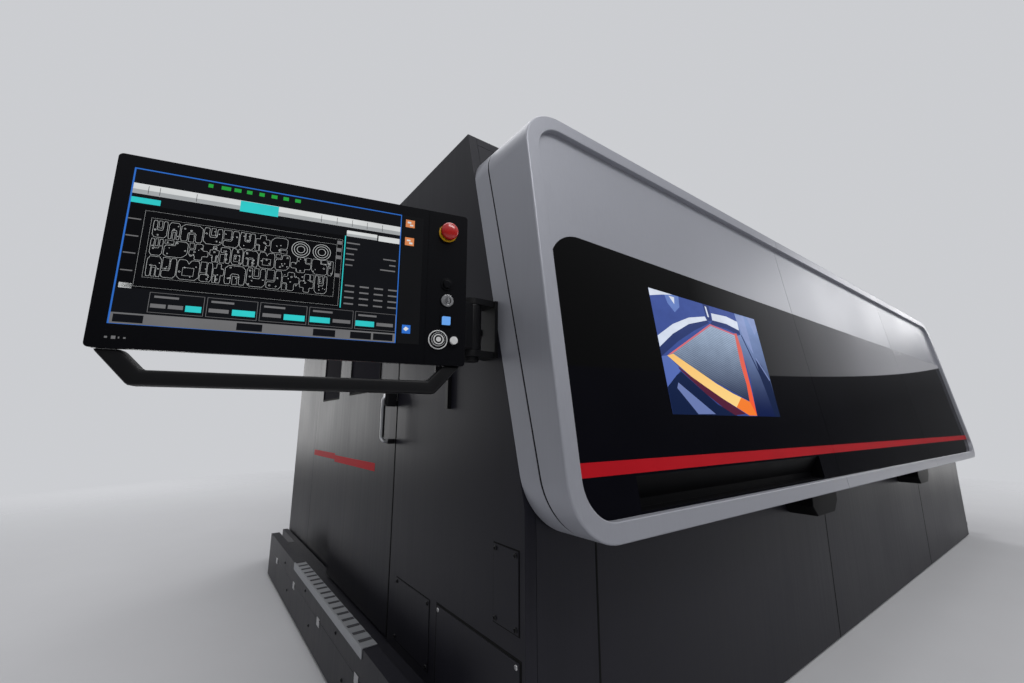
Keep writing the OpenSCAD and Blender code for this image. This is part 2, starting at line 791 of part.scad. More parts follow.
module fascia(x0, x1) {
    difference() {
        face_solid(ring_face - fascia_tuck, ring_recess, ring_recess + fascia_t, x0, x1);
        panel_solid(clear, ring_recess - over, ring_recess + fascia_t + over, x0 - over, x1 + over);
    }
}
module fascia_door() color([0.74, 0.74, 0.76]) fascia(xl, door_x1);
module fascia_fixed() color([0.74, 0.74, 0.76]) {
    fascia(mid_x0, mid_x1);
    fascia(right_x0, ring_end);
}
mon_x0 = xl + monitor_x;
mon_x1 = mon_x0 + monitor_w;
monitor_lo = ring_lo + monitor_rise;
mon_z1 = monitor_lo + monitor_h;
grip_x0 = xl + pocket_x;
grip_x1 = grip_x0 + pocket_w;
grip_z0 = ring_lo + ring_face + 2 * pocket_t;
pocket_top = ring_lo + pocket_rise;
stripe_lo = ring_lo + stripe_rise;
module gloss_panel_door() color([0.02, 0.02, 0.03]) {
    difference() {
        panel_solid(0, ring_recess, panel_d, xl, door_x1);
        face_box(mon_x0 - fit, mon_x1 + fit, monitor_lo - fit, mon_z1 + fit, 0, panel_d + over);
        face_box(grip_x0, grip_x1, grip_z0, pocket_top, 0, panel_d + over);
    }
}
module gloss_panel_fixed() color([0.02, 0.02, 0.03]) {
    panel_solid(0, ring_recess, panel_d, mid_x0, mid_x1);
    panel_solid(0, ring_recess, panel_d, right_x0, ring_end);
}
module stripe(x0, x1) {
    face_box(x0, x1, stripe_lo, stripe_lo + stripe_h, ring_recess - stripe_t, ring_recess);
}
module stripe_door() color([0.72, 0.10, 0.14]) stripe(xl + ring_face + clear, door_x1);
module stripe_fixed() color([0.72, 0.10, 0.14]) {
    stripe(mid_x0, mid_x1);
    stripe(right_x0, ring_end - ring_face - clear);
}
module grip_pocket() color([0.16, 0.16, 0.17]) {
    turn_z = grip_z0 + (pocket_top - grip_z0) / 4;
    rim = panel_d + fit;
    back = panel_d + pocket_d;
    difference() {
        yz(grip_x0 - pocket_t, grip_x1 + pocket_t) polygon([face_pt(pocket_top + pocket_t, rim),
            face_pt(turn_z, back + pocket_t), face_pt(grip_z0 - pocket_t, back + pocket_t),
            face_pt(grip_z0 - pocket_t, rim)]);
        yz(grip_x0, grip_x1) polygon([face_pt(pocket_top, rim - over), face_pt(pocket_top, rim),
            face_pt(turn_z, back), face_pt(grip_z0, back), face_pt(grip_z0, rim - over)]);
    }
}
module monitor_housing() color([0.06, 0.06, 0.07]) {
    face_box(mon_x0 - monitor_rim, mon_x1 + monitor_rim, monitor_lo - monitor_rim, mon_z1 + monitor_rim,
        panel_d + fit, panel_d + monitor_d);
}
module monitor_screen() color([0.15, 0.30, 0.55])
    face_box(mon_x0, mon_x1, monitor_lo, mon_z1, ring_recess, panel_d);

// Lift door hinges, on top of the ring
hinge_y = rear_y(ring_hi) + ring_gap / 2;
hinge_z = ring_hi + hinge_r + hinge_t / 2;
hinge_third = hinge_w / 3;
hinge_off = hinge_r + hinge_t / 2;
hinge_pitch = (ring_seam_1 - 2 * hinge_inset) / (hinge_n - 1);
module at_hinges() {
    for (i = [0 : hinge_n - 1])
        translate([xl + hinge_inset + i * hinge_pitch - hinge_w / 2, hinge_y, ring_hi]) children();
}
module knuckle(x0, x1, r) {
    translate([x0, 0, hinge_z - ring_hi]) rotate([0, 90, 0]) cylinder(h = x1 - x0, r = r);
}
module hinge_plates() color([0.66, 0.67, 0.69]) {
    at_hinges() {
        knuckle(0, hinge_w, hinge_pin_r);
        box([0, hinge_off, 0], [hinge_w, hinge_leaf, hinge_t]);
        for (x = [0, hinge_w - hinge_third]) {
            knuckle(x, x + hinge_third, hinge_r);
            box([x, ring_gap / 2, 0], [x + hinge_third, hinge_off + over, hinge_t]);
            box([x, ring_gap / 2, 0], [x + hinge_third, hinge_r, hinge_z - ring_hi]);
        }
    }
}
module hinge_leaves() color([0.66, 0.67, 0.69]) {
    mid0 = hinge_third + clear;
    mid1 = hinge_w - hinge_third - clear;
    at_hinges() {
        difference() {
            union() {
                box([0, -hinge_leaf, 0], [hinge_w, -hinge_off, hinge_t]);
                box([mid0, -hinge_off - over, 0], [mid1, -ring_gap / 2, hinge_t]);
                box([mid0, -hinge_r, 0], [mid1, -ring_gap / 2, hinge_z - ring_hi]);
                knuckle(mid0, mid1, hinge_r);
            }
            knuckle(-over, hinge_w + over, hinge_pin_r + pin_gap);
        }
    }
}

// Left end
yd0 = yf + door_front;
yd1 = yd0 + door_w;
rear_x = xl + rear_recess;
rear_y0 = yd1 - rear_lap;
rear_seam_y = yd1 + rear_seam;
rear_window_y = yd1 + rear_window_gap;
header_step = 6;
door_top = cabin_h - header_h;
header_lo = door_top + door_gap;
window_z1 = door_top - window_drop;
window_lo = window_z1 - window_h;
pane_lap = 16;
window_y = yd0 + window_in;
module end_outline(y_back, inset) {
    polygon([[yf + inset, floor_gap + inset], [yf + inset, knee_h],
        [wall_y(cabin_h - inset) + inset, cabin_h - inset],
        [y_back - inset, cabin_h - inset], [y_back - inset, floor_gap + inset]]);
}
module left_front_panel() color([0.17, 0.17, 0.19]) {
    difference() {
        yz(xl, xl + wall) end_outline(yd0 - seam / 2, 0);
        yz(xl + skin, xl + wall + over) end_outline(yd0 - seam / 2, skin);
    }
}
module left_rear_panel() color([0.17, 0.17, 0.19]) {
    difference() {
        pan([rear_x, rear_y0, floor_gap], [rear_x + wall, rear_seam_y - seam / 2, door_top], [1, 0, 0]);
        box([rear_x - over, rear_window_y, window_lo],
            [rear_x + wall, rear_window_y + rear_window_w, window_z1]);
    }
    pan([rear_x, rear_seam_y + seam / 2, floor_gap], [rear_x + wall, yb, door_top], [1, 0, 0]);
    pan([xl, yd0 - seam / 2 + fit, floor_gap], [xl + wall, yb, deck_h], [1, 0, 0]);
}
module left_header() color([0.17, 0.17, 0.19])
    pan([xl, yd0 - seam / 2 + fit, header_lo], [xl + wall - header_step, yb, cabin_h], [1, 0, 0]);
module rear_window() color([0.05, 0.05, 0.06])
    box([rear_x + skin, rear_window_y - pane_lap, window_lo - pane_lap],
        [rear_x + skin + pane_t, rear_window_y + rear_window_w + pane_lap, window_z1 + pane_lap]);
module cover(y0, w, z0, z1) {
    box([xl - cover_t, yf + y0, z0], [xl, yf + y0 + w, z1]);
}
cover_lo = floor_gap + 2 * wall;
module service_covers() color([0.19, 0.19, 0.21]) {
    cover(cover_large_front, cover_large_w, cover_lo, cover_large_top);
    cover(cover_small_front, cover_small_w, deck_h + wall, cover_small_top);
    cover(cover_tall_front, cover_tall_w, cover_tall_lo, cover_tall_lo + cover_tall_h);
}
module operator_door() color([0.18, 0.18, 0.20]) {
    difference() {
        pan([xl, yd0 + seam / 2, door_lo], [xl + wall, yd1, door_top], [1, 0, 0]);
        box([xl - over, window_y, window_lo], [xl + wall, window_y + window_w, window_z1]);
    }
}
module door_window() color([0.05, 0.05, 0.06])
    box([xl + skin, window_y - pane_lap, window_lo - pane_lap],
        [xl + skin + pane_t, window_y + window_w + pane_lap, window_z1 + pane_lap]);
handle_y = yd0 + handle_in;
handle_bend = 3 * handle_r;
module handle_foot(z, up) {
    translate([xl, handle_y, z]) {
        translate([-handle_reach + handle_bend, 0, 0]) rotate([0, 90, 0])
            cylinder(h = handle_reach - handle_bend, r = handle_r);
        translate([-handle_reach + handle_bend, 0, up * handle_bend]) rotate([90, 0, 0])
            rotate([0, 0, up > 0 ? 180 : 90]) rotate_extrude(angle = 90)
                translate([handle_bend, 0]) circle(handle_r);
    }
}
latch_h = 46;
module door_handle() color([0.62, 0.63, 0.65]) {
    handle_hi = handle_lo + handle_len;
    handle_foot(handle_lo, 1);
    handle_foot(handle_hi, -1);
    translate([xl - handle_reach, handle_y, handle_lo + handle_bend])
        cylinder(h = handle_len - 2 * handle_bend, r = handle_r);
    box([xl - handle_bend, handle_y - 2 * handle_r, handle_hi - latch_h / 2],
        [xl, handle_y + 2 * handle_r, handle_hi + latch_h / 2]);
}
track_rise = 60;
track_top = door_top + track_rise;
track_h = 40;
track_off = 14;
track_x0 = xl + wall + track_off;
track_t = 8;
strap_t = 6;
hanger_in = 150;
hanger_w = 60;
hanger_t = 5;
shoe_h = 20;
strap_n = 4;
module door_hangers() color([0.30, 0.31, 0.33]) {
    for (y = [yd0 + hanger_in, yd1 - hanger_in]) {
        box([xl + wall, y - hanger_w / 2, door_top - 2 * track_h],
            [xl + wall + hanger_t, y + hanger_w / 2, track_top + shoe_h]);
        box([xl + wall, y - hanger_w / 2, track_top + guide_gap],
            [track_x0 + track_t - clear, y + hanger_w / 2, track_top + shoe_h]);
        box([xl + skin, y - hanger_w / 2, door_top - 2 * track_h],
            [xl + wall, y + hanger_w / 2, door_top - skin - over]);
    }
}
track_y0 = yd0 + wall;
track_y1 = yd1 - hanger_in + door_travel + hanger_w;
module door_track() color([0.60, 0.61, 0.63]) {
    box([track_x0, track_y0, track_top - track_h], [track_x0 + track_t, track_y1, track_top]);
    for (i = [0 : strap_n - 1]) {
        y = track_y0 + i * (track_y1 - track_y0 - hanger_w) / (strap_n - 1);
        box([track_x0 + track_t, y, track_top - track_h],
            [track_x0 + track_t + strap_t, y + hanger_w, cabin_h - skin]);
    }
}

// Step along the left end
step_y0 = yf + step_front;
step_y1 = step_y0 + step_len;
step_x = xl - step_reach;
step_groove_z = step_h * 0.62;
groove_d = 2;
module step() color([0.20, 0.20, 0.22]) {
    difference() {
        box([step_x, step_y0, floor_gap], [step_x + rail_w, step_y1, step_h]);
        box([step_x + skin, step_y0 + skin, floor_gap - over],
            [step_x + rail_w - skin, step_y1 - skin, step_h - skin]);
        box([step_x - over, step_y0 - over, step_groove_z],
            [step_x + groove_d, step_y1 + over, step_groove_z + groove_d]);
    }
    difference() {
        union() {
            box([step_x + rail_w - skin, step_y0, deck_h - skin], [xl, step_y1, deck_h]);
            for (y = [step_y0, step_y1 - skin])
                box([step_x + rail_w - skin, y, floor_gap], [xl, y + skin, deck_h]);
        }
        box([xl - cover_t - fit, yf, floor_gap - over],
            [xl + over, yf + cover_large_front + cover_large_w + fit, step_h]);
    }
}
tread_y0 = yf + tread_front;
tread_pitch = tread_len / tread_ribs;
tread_flange = 34;
module step_tread() color([0.72, 0.73, 0.74]) {
    difference() {
        box([step_x - tread_t, tread_y0, step_h - tread_flange],
            [step_x + rail_w, tread_y0 + tread_len, step_h + tread_t]);
        box([step_x, tread_y0 - over, step_h - tread_flange - over],
            [step_x + rail_w + over, tread_y0 + tread_len + over, step_h]);
        for (i = [0 : tread_ribs - 1])
            box([step_x + tread_t, tread_y0 + (i + 0.62) * tread_pitch, step_h + tread_t / 2],
                [step_x + rail_w + over, tread_y0 + (i + 1) * tread_pitch, step_h + 2 * tread_t]);
    }
}

// Roof, back and right end
module roof() color([0.17, 0.17, 0.19]) {
    x0 = xl + wall + fit;
    step_x_roof = (cabin_len - 2 * wall - 2 * fit) / roof_n;
    lo = cabin_h - wall;
    for (i = [0 : roof_n - 1]) difference() {
        yz(x0 + i * step_x_roof, x0 + (i + 1) * step_x_roof - (i == roof_n - 1 ? 0 : fit))
            polygon([[wall_y(lo), lo], [wall_y(cabin_h), cabin_h], [yb, cabin_h], [yb, lo]]);
        yz(x0 + i * step_x_roof + skin, x0 + (i + 1) * step_x_roof - skin - fit)
            polygon([[wall_y(lo) + skin, lo - over], [wall_y(cabin_h - skin) + skin, cabin_h - skin],
                [yb - skin, cabin_h - skin], [yb - skin, lo - over]]);
    }
}
back_x0 = rear_x + wall + fit;
back_step = (xr - wall - fit - back_x0) / back_n;
exhaust_x = back_x0 + (back_n - 0.5) * back_step;
exhaust_z = cabin_h - exhaust_drop;
exhaust_flange = 40;
module back_wall() color([0.17, 0.17, 0.19]) {
    difference() {
        for (i = [0 : back_n - 1])
            pan([back_x0 + i * back_step, yb - wall, floor_gap],
                [back_x0 + (i + 1) * back_step - (i == back_n - 1 ? 0 : seam), yb, cabin_h - wall - fit],
                [0, -1, 0]);
        at_exhaust() cylinder(h = 2 * wall, r = exhaust_r - exhaust_t, center = true);
    }
    at_exhaust() difference() {
        union() {
            cylinder(h = exhaust_t, r = exhaust_r + exhaust_flange);
            cylinder(h = exhaust_len, r = exhaust_r);
        }
        translate([0, 0, -over]) cylinder(h = exhaust_len + 2 * over, r = exhaust_r - exhaust_t);
    }
}
module at_exhaust() {
    translate([exhaust_x, yb + fit, exhaust_z]) rotate([-90, 0, 0]) children();
}
gate_hi = gate_lo + gate_h;
gate_y = gate_w / 2;
// Notch in the right end wall for a dock plate
module dock_notch(y) {
    box([xr - wall - over, y - sill_w / 2 - fit, floor_gap - over],
        [xr + over, y + sill_w / 2 + fit, base_lo + dock_t + fit]);
}
module right_end_wall() color([0.17, 0.17, 0.19]) {
    difference() {
        yz(xr - wall, xr) end_outline(-gate_y, 0);
        yz(xr - wall - over, xr - skin) end_outline(-gate_y, skin);
        dock_notch(-sill_y);
    }
    difference() {
        pan([xr - wall, gate_y, floor_gap], [xr, yb, cabin_h], [-1, 0, 0]);
        dock_notch(sill_y);
    }
    pan([xr - wall, -gate_y + fit, floor_gap], [xr, gate_y - fit, gate_lo], [-1, 0, 0]);
    pan([xr - wall, -gate_y + fit, gate_hi], [xr, gate_y - fit, cabin_h], [-1, 0, 0]);
}
shutter_x1 = xr - wall - over;
shutter_x0 = shutter_x1 - shutter_t;
guide_wall = 6;
rib_n = 4;
module shutter() color([0.55, 0.56, 0.58]) {
    z0 = gate_lo - gate_lap;
    z1 = gate_hi + gate_lap;
    difference() {
        box([shutter_x0, -gate_y - gate_lap, z0], [shutter_x1, gate_y + gate_lap, z1]);
        for (i = [0 : rib_n - 1]) {
            rib = (z1 - z0 - gate_lap) / rib_n;
            box([shutter_x0 - over, -gate_y + gate_lap, z0 + gate_lap + i * rib],
                [shutter_x1 - skin, gate_y - gate_lap, z0 + (i + 1) * rib]);
        }
    }
}
module shutter_guides() color([0.40, 0.41, 0.43]) {
    z0 = gate_lo - gate_lap - clear;
    z1 = gate_hi + gate_lap + shutter_travel + guide_wall;
    for (s = [0, 1]) mirror([0, s, 0]) {
        difference() {
            box([shutter_x0 - guide_wall, gate_y, z0 - guide_wall],
                [xr - wall - fit, gate_y + 2 * gate_lap, z1]);
            box([shutter_x0 - clear, gate_y - over, z0], [xr, gate_y + gate_lap + clear, z1 + over]);
        }
        box([xr - wall - guide_wall, gate_y + 2 * gate_lap - guide_wall, z0],
            [xr - skin - fit, gate_y + 2 * gate_lap, z1]);
    }
}

// Console, its arm and its controls
console_x = xl - console_out;
console_y = yf - console_fwd;
pivot = [xl - pivot_out, yf + pivot_back];
swivel = [console_x + swivel_x * cos(console_turn) + swivel_back * sin(console_turn),
    console_y - swivel_x * sin(console_turn) + swivel_back * cos(console_turn)];
arm_run = swivel - pivot;
arm_len = norm(arm_run);
arm_dir = atan2(arm_run[1], arm_run[0]);
ear_z = arm_h / 2 + clear;
module at_console() {
    translate([console_x, console_y, console_mid]) rotate([0, 0, -console_turn]) children();
}
module at_pivot() {
    translate([pivot[0], pivot[1], console_mid]) children();
}
plate_t = 12;
bracket_w = 2 * hub_r + plate_t;
cap_h = 14;
duct_w = 22;
duct_d = 15;
duct_back = 466;
duct_lo = 1173;
module arm_bracket() color([0.03, 0.03, 0.04]) {
    at_pivot() {
        cylinder(h = 2 * (ear_z + ear_t), r = pivot_r, center = true);
        translate([0, 0, -ear_z - ear_t - cap_h]) cylinder(h = cap_h, r = hub_r - cap_h / 2);
        for (s = [-1, 1]) translate([0, 0, s * (ear_z + ear_t / 2)]) {
            cylinder(h = ear_t, r = hub_r, center = true);
            translate([pivot_out / 2, 0, 0]) cube([pivot_out, 2 * hub_r, ear_t], center = true);
        }
        box([pivot_out - plate_t, -bracket_w / 2, -ear_z - ear_t], [pivot_out, bracket_w / 2, ear_z + ear_t]);
    }
    box([xl - duct_d, pivot[1] + bracket_w / 2 - over, console_mid - duct_w / 2],
        [xl, yf + duct_back, console_mid + duct_w / 2]);
    box([xl - duct_d, yf + duct_back - duct_w, duct_lo], [xl, yf + duct_back, console_mid + duct_w / 2]);
}
module console_arm() color([0.04, 0.04, 0.05]) {
    at_pivot() rotate([0, 0, arm_dir]) difference() {
        union() {
            for (x = [0, arm_len]) translate([x, 0, 0]) cylinder(h = arm_h, r = hub_r, center = true);
            translate([arm_len / 2, 0, 0]) cube([arm_len, arm_t, arm_h], center = true);
        }
        for (x = [0, arm_len])
            translate([x, 0, 0]) cylinder(h = arm_h + 2 * over, r = pivot_r + pin_gap, center = true);
    }
}
taper = 60;
module console_shell() color([0.07, 0.07, 0.08]) {
    w = console_w / 2;
    h = console_h / 2;
    at_console() {
        intersection() {
            translate([0, 0, -h]) linear_extrude(console_h)
                polygon([[-w, console_plate], [w, console_plate],
                    [w - taper, console_d], [taper - w, console_d]]);
            yz(-w, w) polygon([[console_plate, -h], [console_plate, h],
                [console_d, h - taper], [console_d, taper - h]]);
        }
        translate([swivel_x, swivel_back, 0]) cylinder(h = 2 * (ear_z + ear_t), r = pivot_r, center = true);
        for (s = [-1, 1]) translate([swivel_x, 0, s * (ear_z + ear_t / 2)]) {
            translate([0, swivel_back, 0]) cylinder(h = ear_t, r = hub_r, center = true);
            translate([0, (console_d + swivel_back) / 2 - over, 0])
                cube([2 * hub_r, swivel_back - console_d + 2 * over, ear_t], center = true);
        }
    }
}
disp_x0 = -console_w / 2 + display_x;
disp_z1 = console_h / 2 - display_z;
strip_seam = 92;
strip_groove = 1;
bore_floor = 2;
bore_d = console_plate - bore_floor;
// A control's place on the face, with its axis out of the face
module at_control(in, drop) {
    at_console() translate([console_w / 2 - in, 0, console_h / 2 - drop]) rotate([90, 0, 0]) children();
}
estop_stem = 10;
key_r = 8;
module console_front() color([0.05, 0.05, 0.06]) {
    difference() {
        at_console() difference() {
            xz(0, console_plate) round_rect(-console_w / 2, console_w / 2,
                -console_h / 2, console_h / 2, console_r, console_r);
            box([disp_x0 - fit, -over, disp_z1 - display_h - fit],
                [disp_x0 + display_w + fit, console_plate + over, disp_z1 + fit]);
            box([console_w / 2 - strip_seam, -over, -console_h / 2 - over],
                [console_w / 2 - strip_seam + strip_groove, strip_groove, console_h / 2 + over]);
        }
        at_control(strip_in, estop_drop) bore(estop_stem + button_gap);
        at_control(strip_in, dark_drop) bore(button_r + button_gap);
        at_control(strip_in, key_drop) bore(key_r + pin_gap);
        at_control(strip_in, square_drop) square_block(square_r + button_gap, -bore_d, over);
        at_control(start_in, start_drop) bore(start_r + button_gap);
        at_control(white_in, start_drop) bore(button_r + button_gap);
    }
}
module bore(r) {
    translate([0, 0, -bore_d]) cylinder(h = bore_d + over, r = r);
}
module square_block(r, z0, z1) {
    box([-r, -r, z0], [r, r, z1]);
}
module console_display() color([0.12, 0.35, 0.45])
    at_console() box([disp_x0, 0, disp_z1 - display_h], [disp_x0 + display_w, console_plate, disp_z1]);
module console_handle() color([0.04, 0.04, 0.05]) {
    w = console_w / 2 - console_r;
    top = -console_h / 2;
    lean = bar_drop * 0.9;
    at_console() xz(console_plate / 2, console_plate / 2 + bar_d) difference() {
        polygon([[-w, top], [lean - w, top - bar_drop], [w - lean, top - bar_drop], [w, top]]);
        polygon([[bar_h * 1.4 - w, top + over], [lean + bar_h * 0.6 - w, top - bar_drop + bar_h],
            [w - lean - bar_h * 0.6, top - bar_drop + bar_h], [w - bar_h * 1.4, top + over]]);
    }
}
module collar(r) {
    difference() {
        cylinder(h = collar_h, r = r + button_gap + collar_w);
        translate([0, 0, -over]) cylinder(h = collar_h + 2 * over, r = r + button_gap);
    }
}
module button_collars() color([0.10, 0.10, 0.11]) {
    at_control(strip_in, estop_drop) collar(estop_stem + collar_w);
    at_control(strip_in, dark_drop) collar(button_r);
    at_control(strip_in, key_drop) collar(key_r + collar_w / 2);
    at_control(strip_in, square_drop) difference() {
        square_block(square_r + collar_w, 0, collar_h);
        square_block(square_r + button_gap, -over, collar_h + over);
    }
    at_control(start_in, start_drop) collar(start_r);
    at_control(white_in, start_drop) collar(button_r);
}
button_in = bore_d - press - over;
head_lift = collar_h + press + over;
estop_edge = 3;
estop_side = 8;
estop_dome = 10;
dome_step = 15;
module estop() color([0.75, 0.07, 0.06])
    at_control(strip_in, estop_drop) rotate_extrude()
        polygon(concat([[0, -button_in], [estop_stem, -button_in], [estop_stem, head_lift],
            [estop_r - estop_edge, head_lift], [estop_r, head_lift + estop_edge]],
            [for (a = [0 : dome_step : 90])
                [estop_r * cos(a), head_lift + estop_side + estop_dome * sin(a)]]));
module round_button(r) {
    translate([0, 0, -button_in]) cylinder(h = button_in + collar_h + button_up - over, r = r);
    translate([0, 0, collar_h + button_up - over]) cylinder(h = over, r1 = r, r2 = r - over);
}
module dark_button() color([0.12, 0.12, 0.13]) at_control(strip_in, dark_drop) round_button(button_r);
module white_button() color([0.88, 0.88, 0.88]) at_control(white_in, start_drop) round_button(button_r);
module start_button() color([0.85, 0.85, 0.85]) {
    ring_r = start_r * 0.62;
    at_control(start_in, start_drop) difference() {
        round_button(start_r);
        translate([0, 0, collar_h + button_up - over]) difference() {
            cylinder(h = 2 * over, r = ring_r);
            translate([0, 0, -over]) cylinder(h = 4 * over, r = ring_r * 0.6);
        }
    }
}
module square_button() color([0.25, 0.50, 0.85])
    at_control(strip_in, square_drop) square_block(square_r, -button_in, collar_h + button_up);
key_t = 3;
key_l = 18;
module key_switch() color([0.60, 0.61, 0.63])
    at_control(strip_in, key_drop) {
        translate([0, 0, -bore_d + over]) cylinder(h = bore_d - over + collar_h + over, r = key_r);
        translate([-key_t / 2, -key_r * 0.7, collar_h]) cube([key_t, key_r * 1.4, key_l]);
    }

base_frame();
levelling_pads();
pallet_frame();
pallet_slats();
scrap_tray();
x_guides();
gantry();
y_guides();
head_carriage();
head_slide();
cutting_head();
nozzle();
front_skirt();
front_wall();
mounting_frame();
ring_seal();
bracket_blocks();
bezel_door();
bezel_fixed();
fascia_door();
fascia_fixed();
gloss_panel_door();
gloss_panel_fixed();
stripe_door();
stripe_fixed();
grip_pocket();
monitor_housing();
monitor_screen();
hinge_plates();
hinge_leaves();
left_front_panel();
left_rear_panel();
left_header();
rear_window();
service_covers();
operator_door();
door_window();
door_handle();
door_hangers();
door_track();
step();
step_tread();
roof();
back_wall();
right_end_wall();
shutter();
shutter_guides();
arm_bracket();
console_arm();
console_shell();
console_front();
console_display();
console_handle();
button_collars();
estop();
dark_button();
key_switch();
square_button();
start_button();
white_button();
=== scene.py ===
"""Looks of an enclosed fiber laser cutting machine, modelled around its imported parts.

Metres, in the parts' own frame: X along the front, Y into the machine, Z up from the floor.
"""
import json
import math
import random

import bmesh
import bpy
from bpy.props import FloatProperty, FloatVectorProperty, PointerProperty
from mathutils import Matrix, Vector

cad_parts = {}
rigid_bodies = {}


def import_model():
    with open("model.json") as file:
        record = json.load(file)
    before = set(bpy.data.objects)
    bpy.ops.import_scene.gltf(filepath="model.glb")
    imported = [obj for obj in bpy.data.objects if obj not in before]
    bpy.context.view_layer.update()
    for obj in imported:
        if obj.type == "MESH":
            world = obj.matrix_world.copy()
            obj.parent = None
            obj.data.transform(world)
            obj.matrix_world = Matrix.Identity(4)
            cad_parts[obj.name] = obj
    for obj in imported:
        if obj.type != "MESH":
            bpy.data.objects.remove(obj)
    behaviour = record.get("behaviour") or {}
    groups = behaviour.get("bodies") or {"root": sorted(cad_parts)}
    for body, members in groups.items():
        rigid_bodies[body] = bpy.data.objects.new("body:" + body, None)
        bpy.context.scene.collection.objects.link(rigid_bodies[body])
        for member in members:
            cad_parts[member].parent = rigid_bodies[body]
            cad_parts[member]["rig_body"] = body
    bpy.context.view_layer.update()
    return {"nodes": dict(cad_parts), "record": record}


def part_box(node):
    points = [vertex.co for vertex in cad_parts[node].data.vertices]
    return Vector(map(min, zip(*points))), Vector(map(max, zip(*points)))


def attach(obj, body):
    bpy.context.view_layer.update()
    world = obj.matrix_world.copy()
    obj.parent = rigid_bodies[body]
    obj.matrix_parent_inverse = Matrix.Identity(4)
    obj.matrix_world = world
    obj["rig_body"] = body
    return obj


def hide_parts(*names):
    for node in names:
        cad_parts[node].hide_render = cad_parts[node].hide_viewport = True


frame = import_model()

bl_info = {
    "name": "Laser cutter looks",
    "version": (1, 0, 0),
    "blender": (4, 5, 0),
    "location": "View3D > Sidebar > Laser cutter",
    "description": "Finishes, screens and small pieces of an enclosed laser cutting machine",
    "category": "Object",
}

SLOT_OF = {row["node"]: row["material_slot"] for row in frame["record"]["subparts"]}
FINISH = {}

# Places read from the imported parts
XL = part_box("left_front_panel")[0].x
RING_LO, RING_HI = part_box("bezel_door")
RING_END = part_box("bezel_fixed")[1].x
PANEL_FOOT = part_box("gloss_panel_fixed")[0].z
SCREEN_LO, SCREEN_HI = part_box("monitor_screen")
STEP_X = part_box("step")[0].x
DOOR_LO, DOOR_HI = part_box("operator_door")
# A cover wider than this is the large one
LARGE_COVER = 0.4
# Points nearer than this are one
SAME_PLACE = 0.00001


# Property groups

def size(name, default, description):
    """A length that a user may change, in metres."""
    return FloatProperty(name=name, default=default, description=description, unit="LENGTH", min=0.0)


def colour(name, default, description):
    """A colour that a user may change."""
    return FloatVectorProperty(name=name, default=default, description=description,
                               subtype="COLOR", size=3, min=0.0, max=1.0)


class CutterColours(bpy.types.PropertyGroup):
    """Colours of the machine's finishes."""
    charcoal: colour("Charcoal", (0.0125, 0.0122, 0.0180), "Cabin panels, satin powder coat")
    silver: colour("Silver", (0.345, 0.352, 0.392), "Ring and fascia, satin silver paint")
    gloss: colour("Gloss black", (0.0035, 0.0035, 0.0055), "Panel inside the ring")
    stripe: colour("Stripe", (0.44, 0.006, 0.013), "Red stripe and door tape")
    console: colour("Console", (0.0035, 0.0036, 0.0050), "Console front and shell")
    frame: colour("Frame", (0.10, 0.105, 0.115), "Base frame and runners")
    pallet: colour("Pallet", (0.62, 0.15, 0.02), "Pallet frame")
    steel: colour("Steel", (0.52, 0.52, 0.53), "Guides and bare fittings")
    tread: colour("Tread", (0.33, 0.34, 0.36), "Step tread")


class CutterSizes(bpy.types.PropertyGroup):
    """Sizes of the modelled details."""
    ring_edge: size("Ring edge", 0.007, "Radius of the ring's outer front edge")
    ring_lip: size("Ring lip", 0.004, "Radius of the ring's inner front edge")
    fold: size("Fold", 0.0022, "Radius of a folded panel's edges")
    screw: size("Screw", 0.007, "Radius of a screw's head")
    gasket: size("Gasket", 0.012, "Width of a window gasket")
    tape: size("Tape", 0.0006, "Thickness of the door tape")


class CutterStage(bpy.types.PropertyGroup):
    """Camera, floor and light."""
    eye: FloatVectorProperty(name="Eye", default=(-3.687, -2.620, 1.1135), subtype="TRANSLATION",
                             unit="LENGTH", description="Place of the camera")
    yaw: FloatProperty(name="Yaw", default=math.radians(36.53), subtype="ANGLE",
                       description="Turn of the camera from the machine's depth towards its right end")
    pitch: FloatProperty(name="Pitch", default=math.radians(10.96), subtype="ANGLE",
                         description="Upward tilt of the camera")
    lens: FloatProperty(name="Lens", default=15.16, description="Focal length on a 36 mm wide frame, in mm")
    floor: colour("Floor", (0.62, 0.62, 0.635), "Plain floor")
    backdrop: colour("Backdrop", (0.60, 0.61, 0.635), "Plain surroundings")
    ambient: FloatProperty(name="Ambient", default=0.62, description="Strength of the light from all round")


# Small helpers

def only(obj):
    """Selects one object and makes it active."""
    bpy.ops.object.select_all(action="DESELECT")
    obj.select_set(True)
    bpy.context.view_layer.objects.active = obj


def edit_mesh(obj):
    """Goes to edit mode on one object, with nothing selected."""
    only(obj)
    bpy.ops.object.mode_set(mode="EDIT")
    bpy.ops.mesh.select_mode(type="VERT")
    bpy.ops.mesh.select_all(action="DESELECT")


def leave_edit():
    """Goes back to object mode."""
    bpy.ops.object.mode_set(mode="OBJECT")


def pick(obj, faces=None, edges=None):
    """Selects the faces or edges of the edit mesh that pass a test."""
    bpy.ops.mesh.select_all(action="DESELECT")
    bpy.ops.mesh.select_mode(type="FACE" if faces else "EDGE")
    mesh = bmesh.from_edit_mesh(obj.data)
    mesh.normal_update()
    items, test = (mesh.faces, faces) if faces else (mesh.edges, edges)
    for item in [i for i in items if test(i)]:
        item.select_set(True)
    mesh.select_flush_mode()
    bmesh.update_edit_mesh(obj.data)


def extrude(x, y, z):
    """Extrudes what is selected in the edit mesh."""
    bpy.ops.mesh.extrude_region_move(TRANSFORM_OT_translate={"value": (x, y, z)})


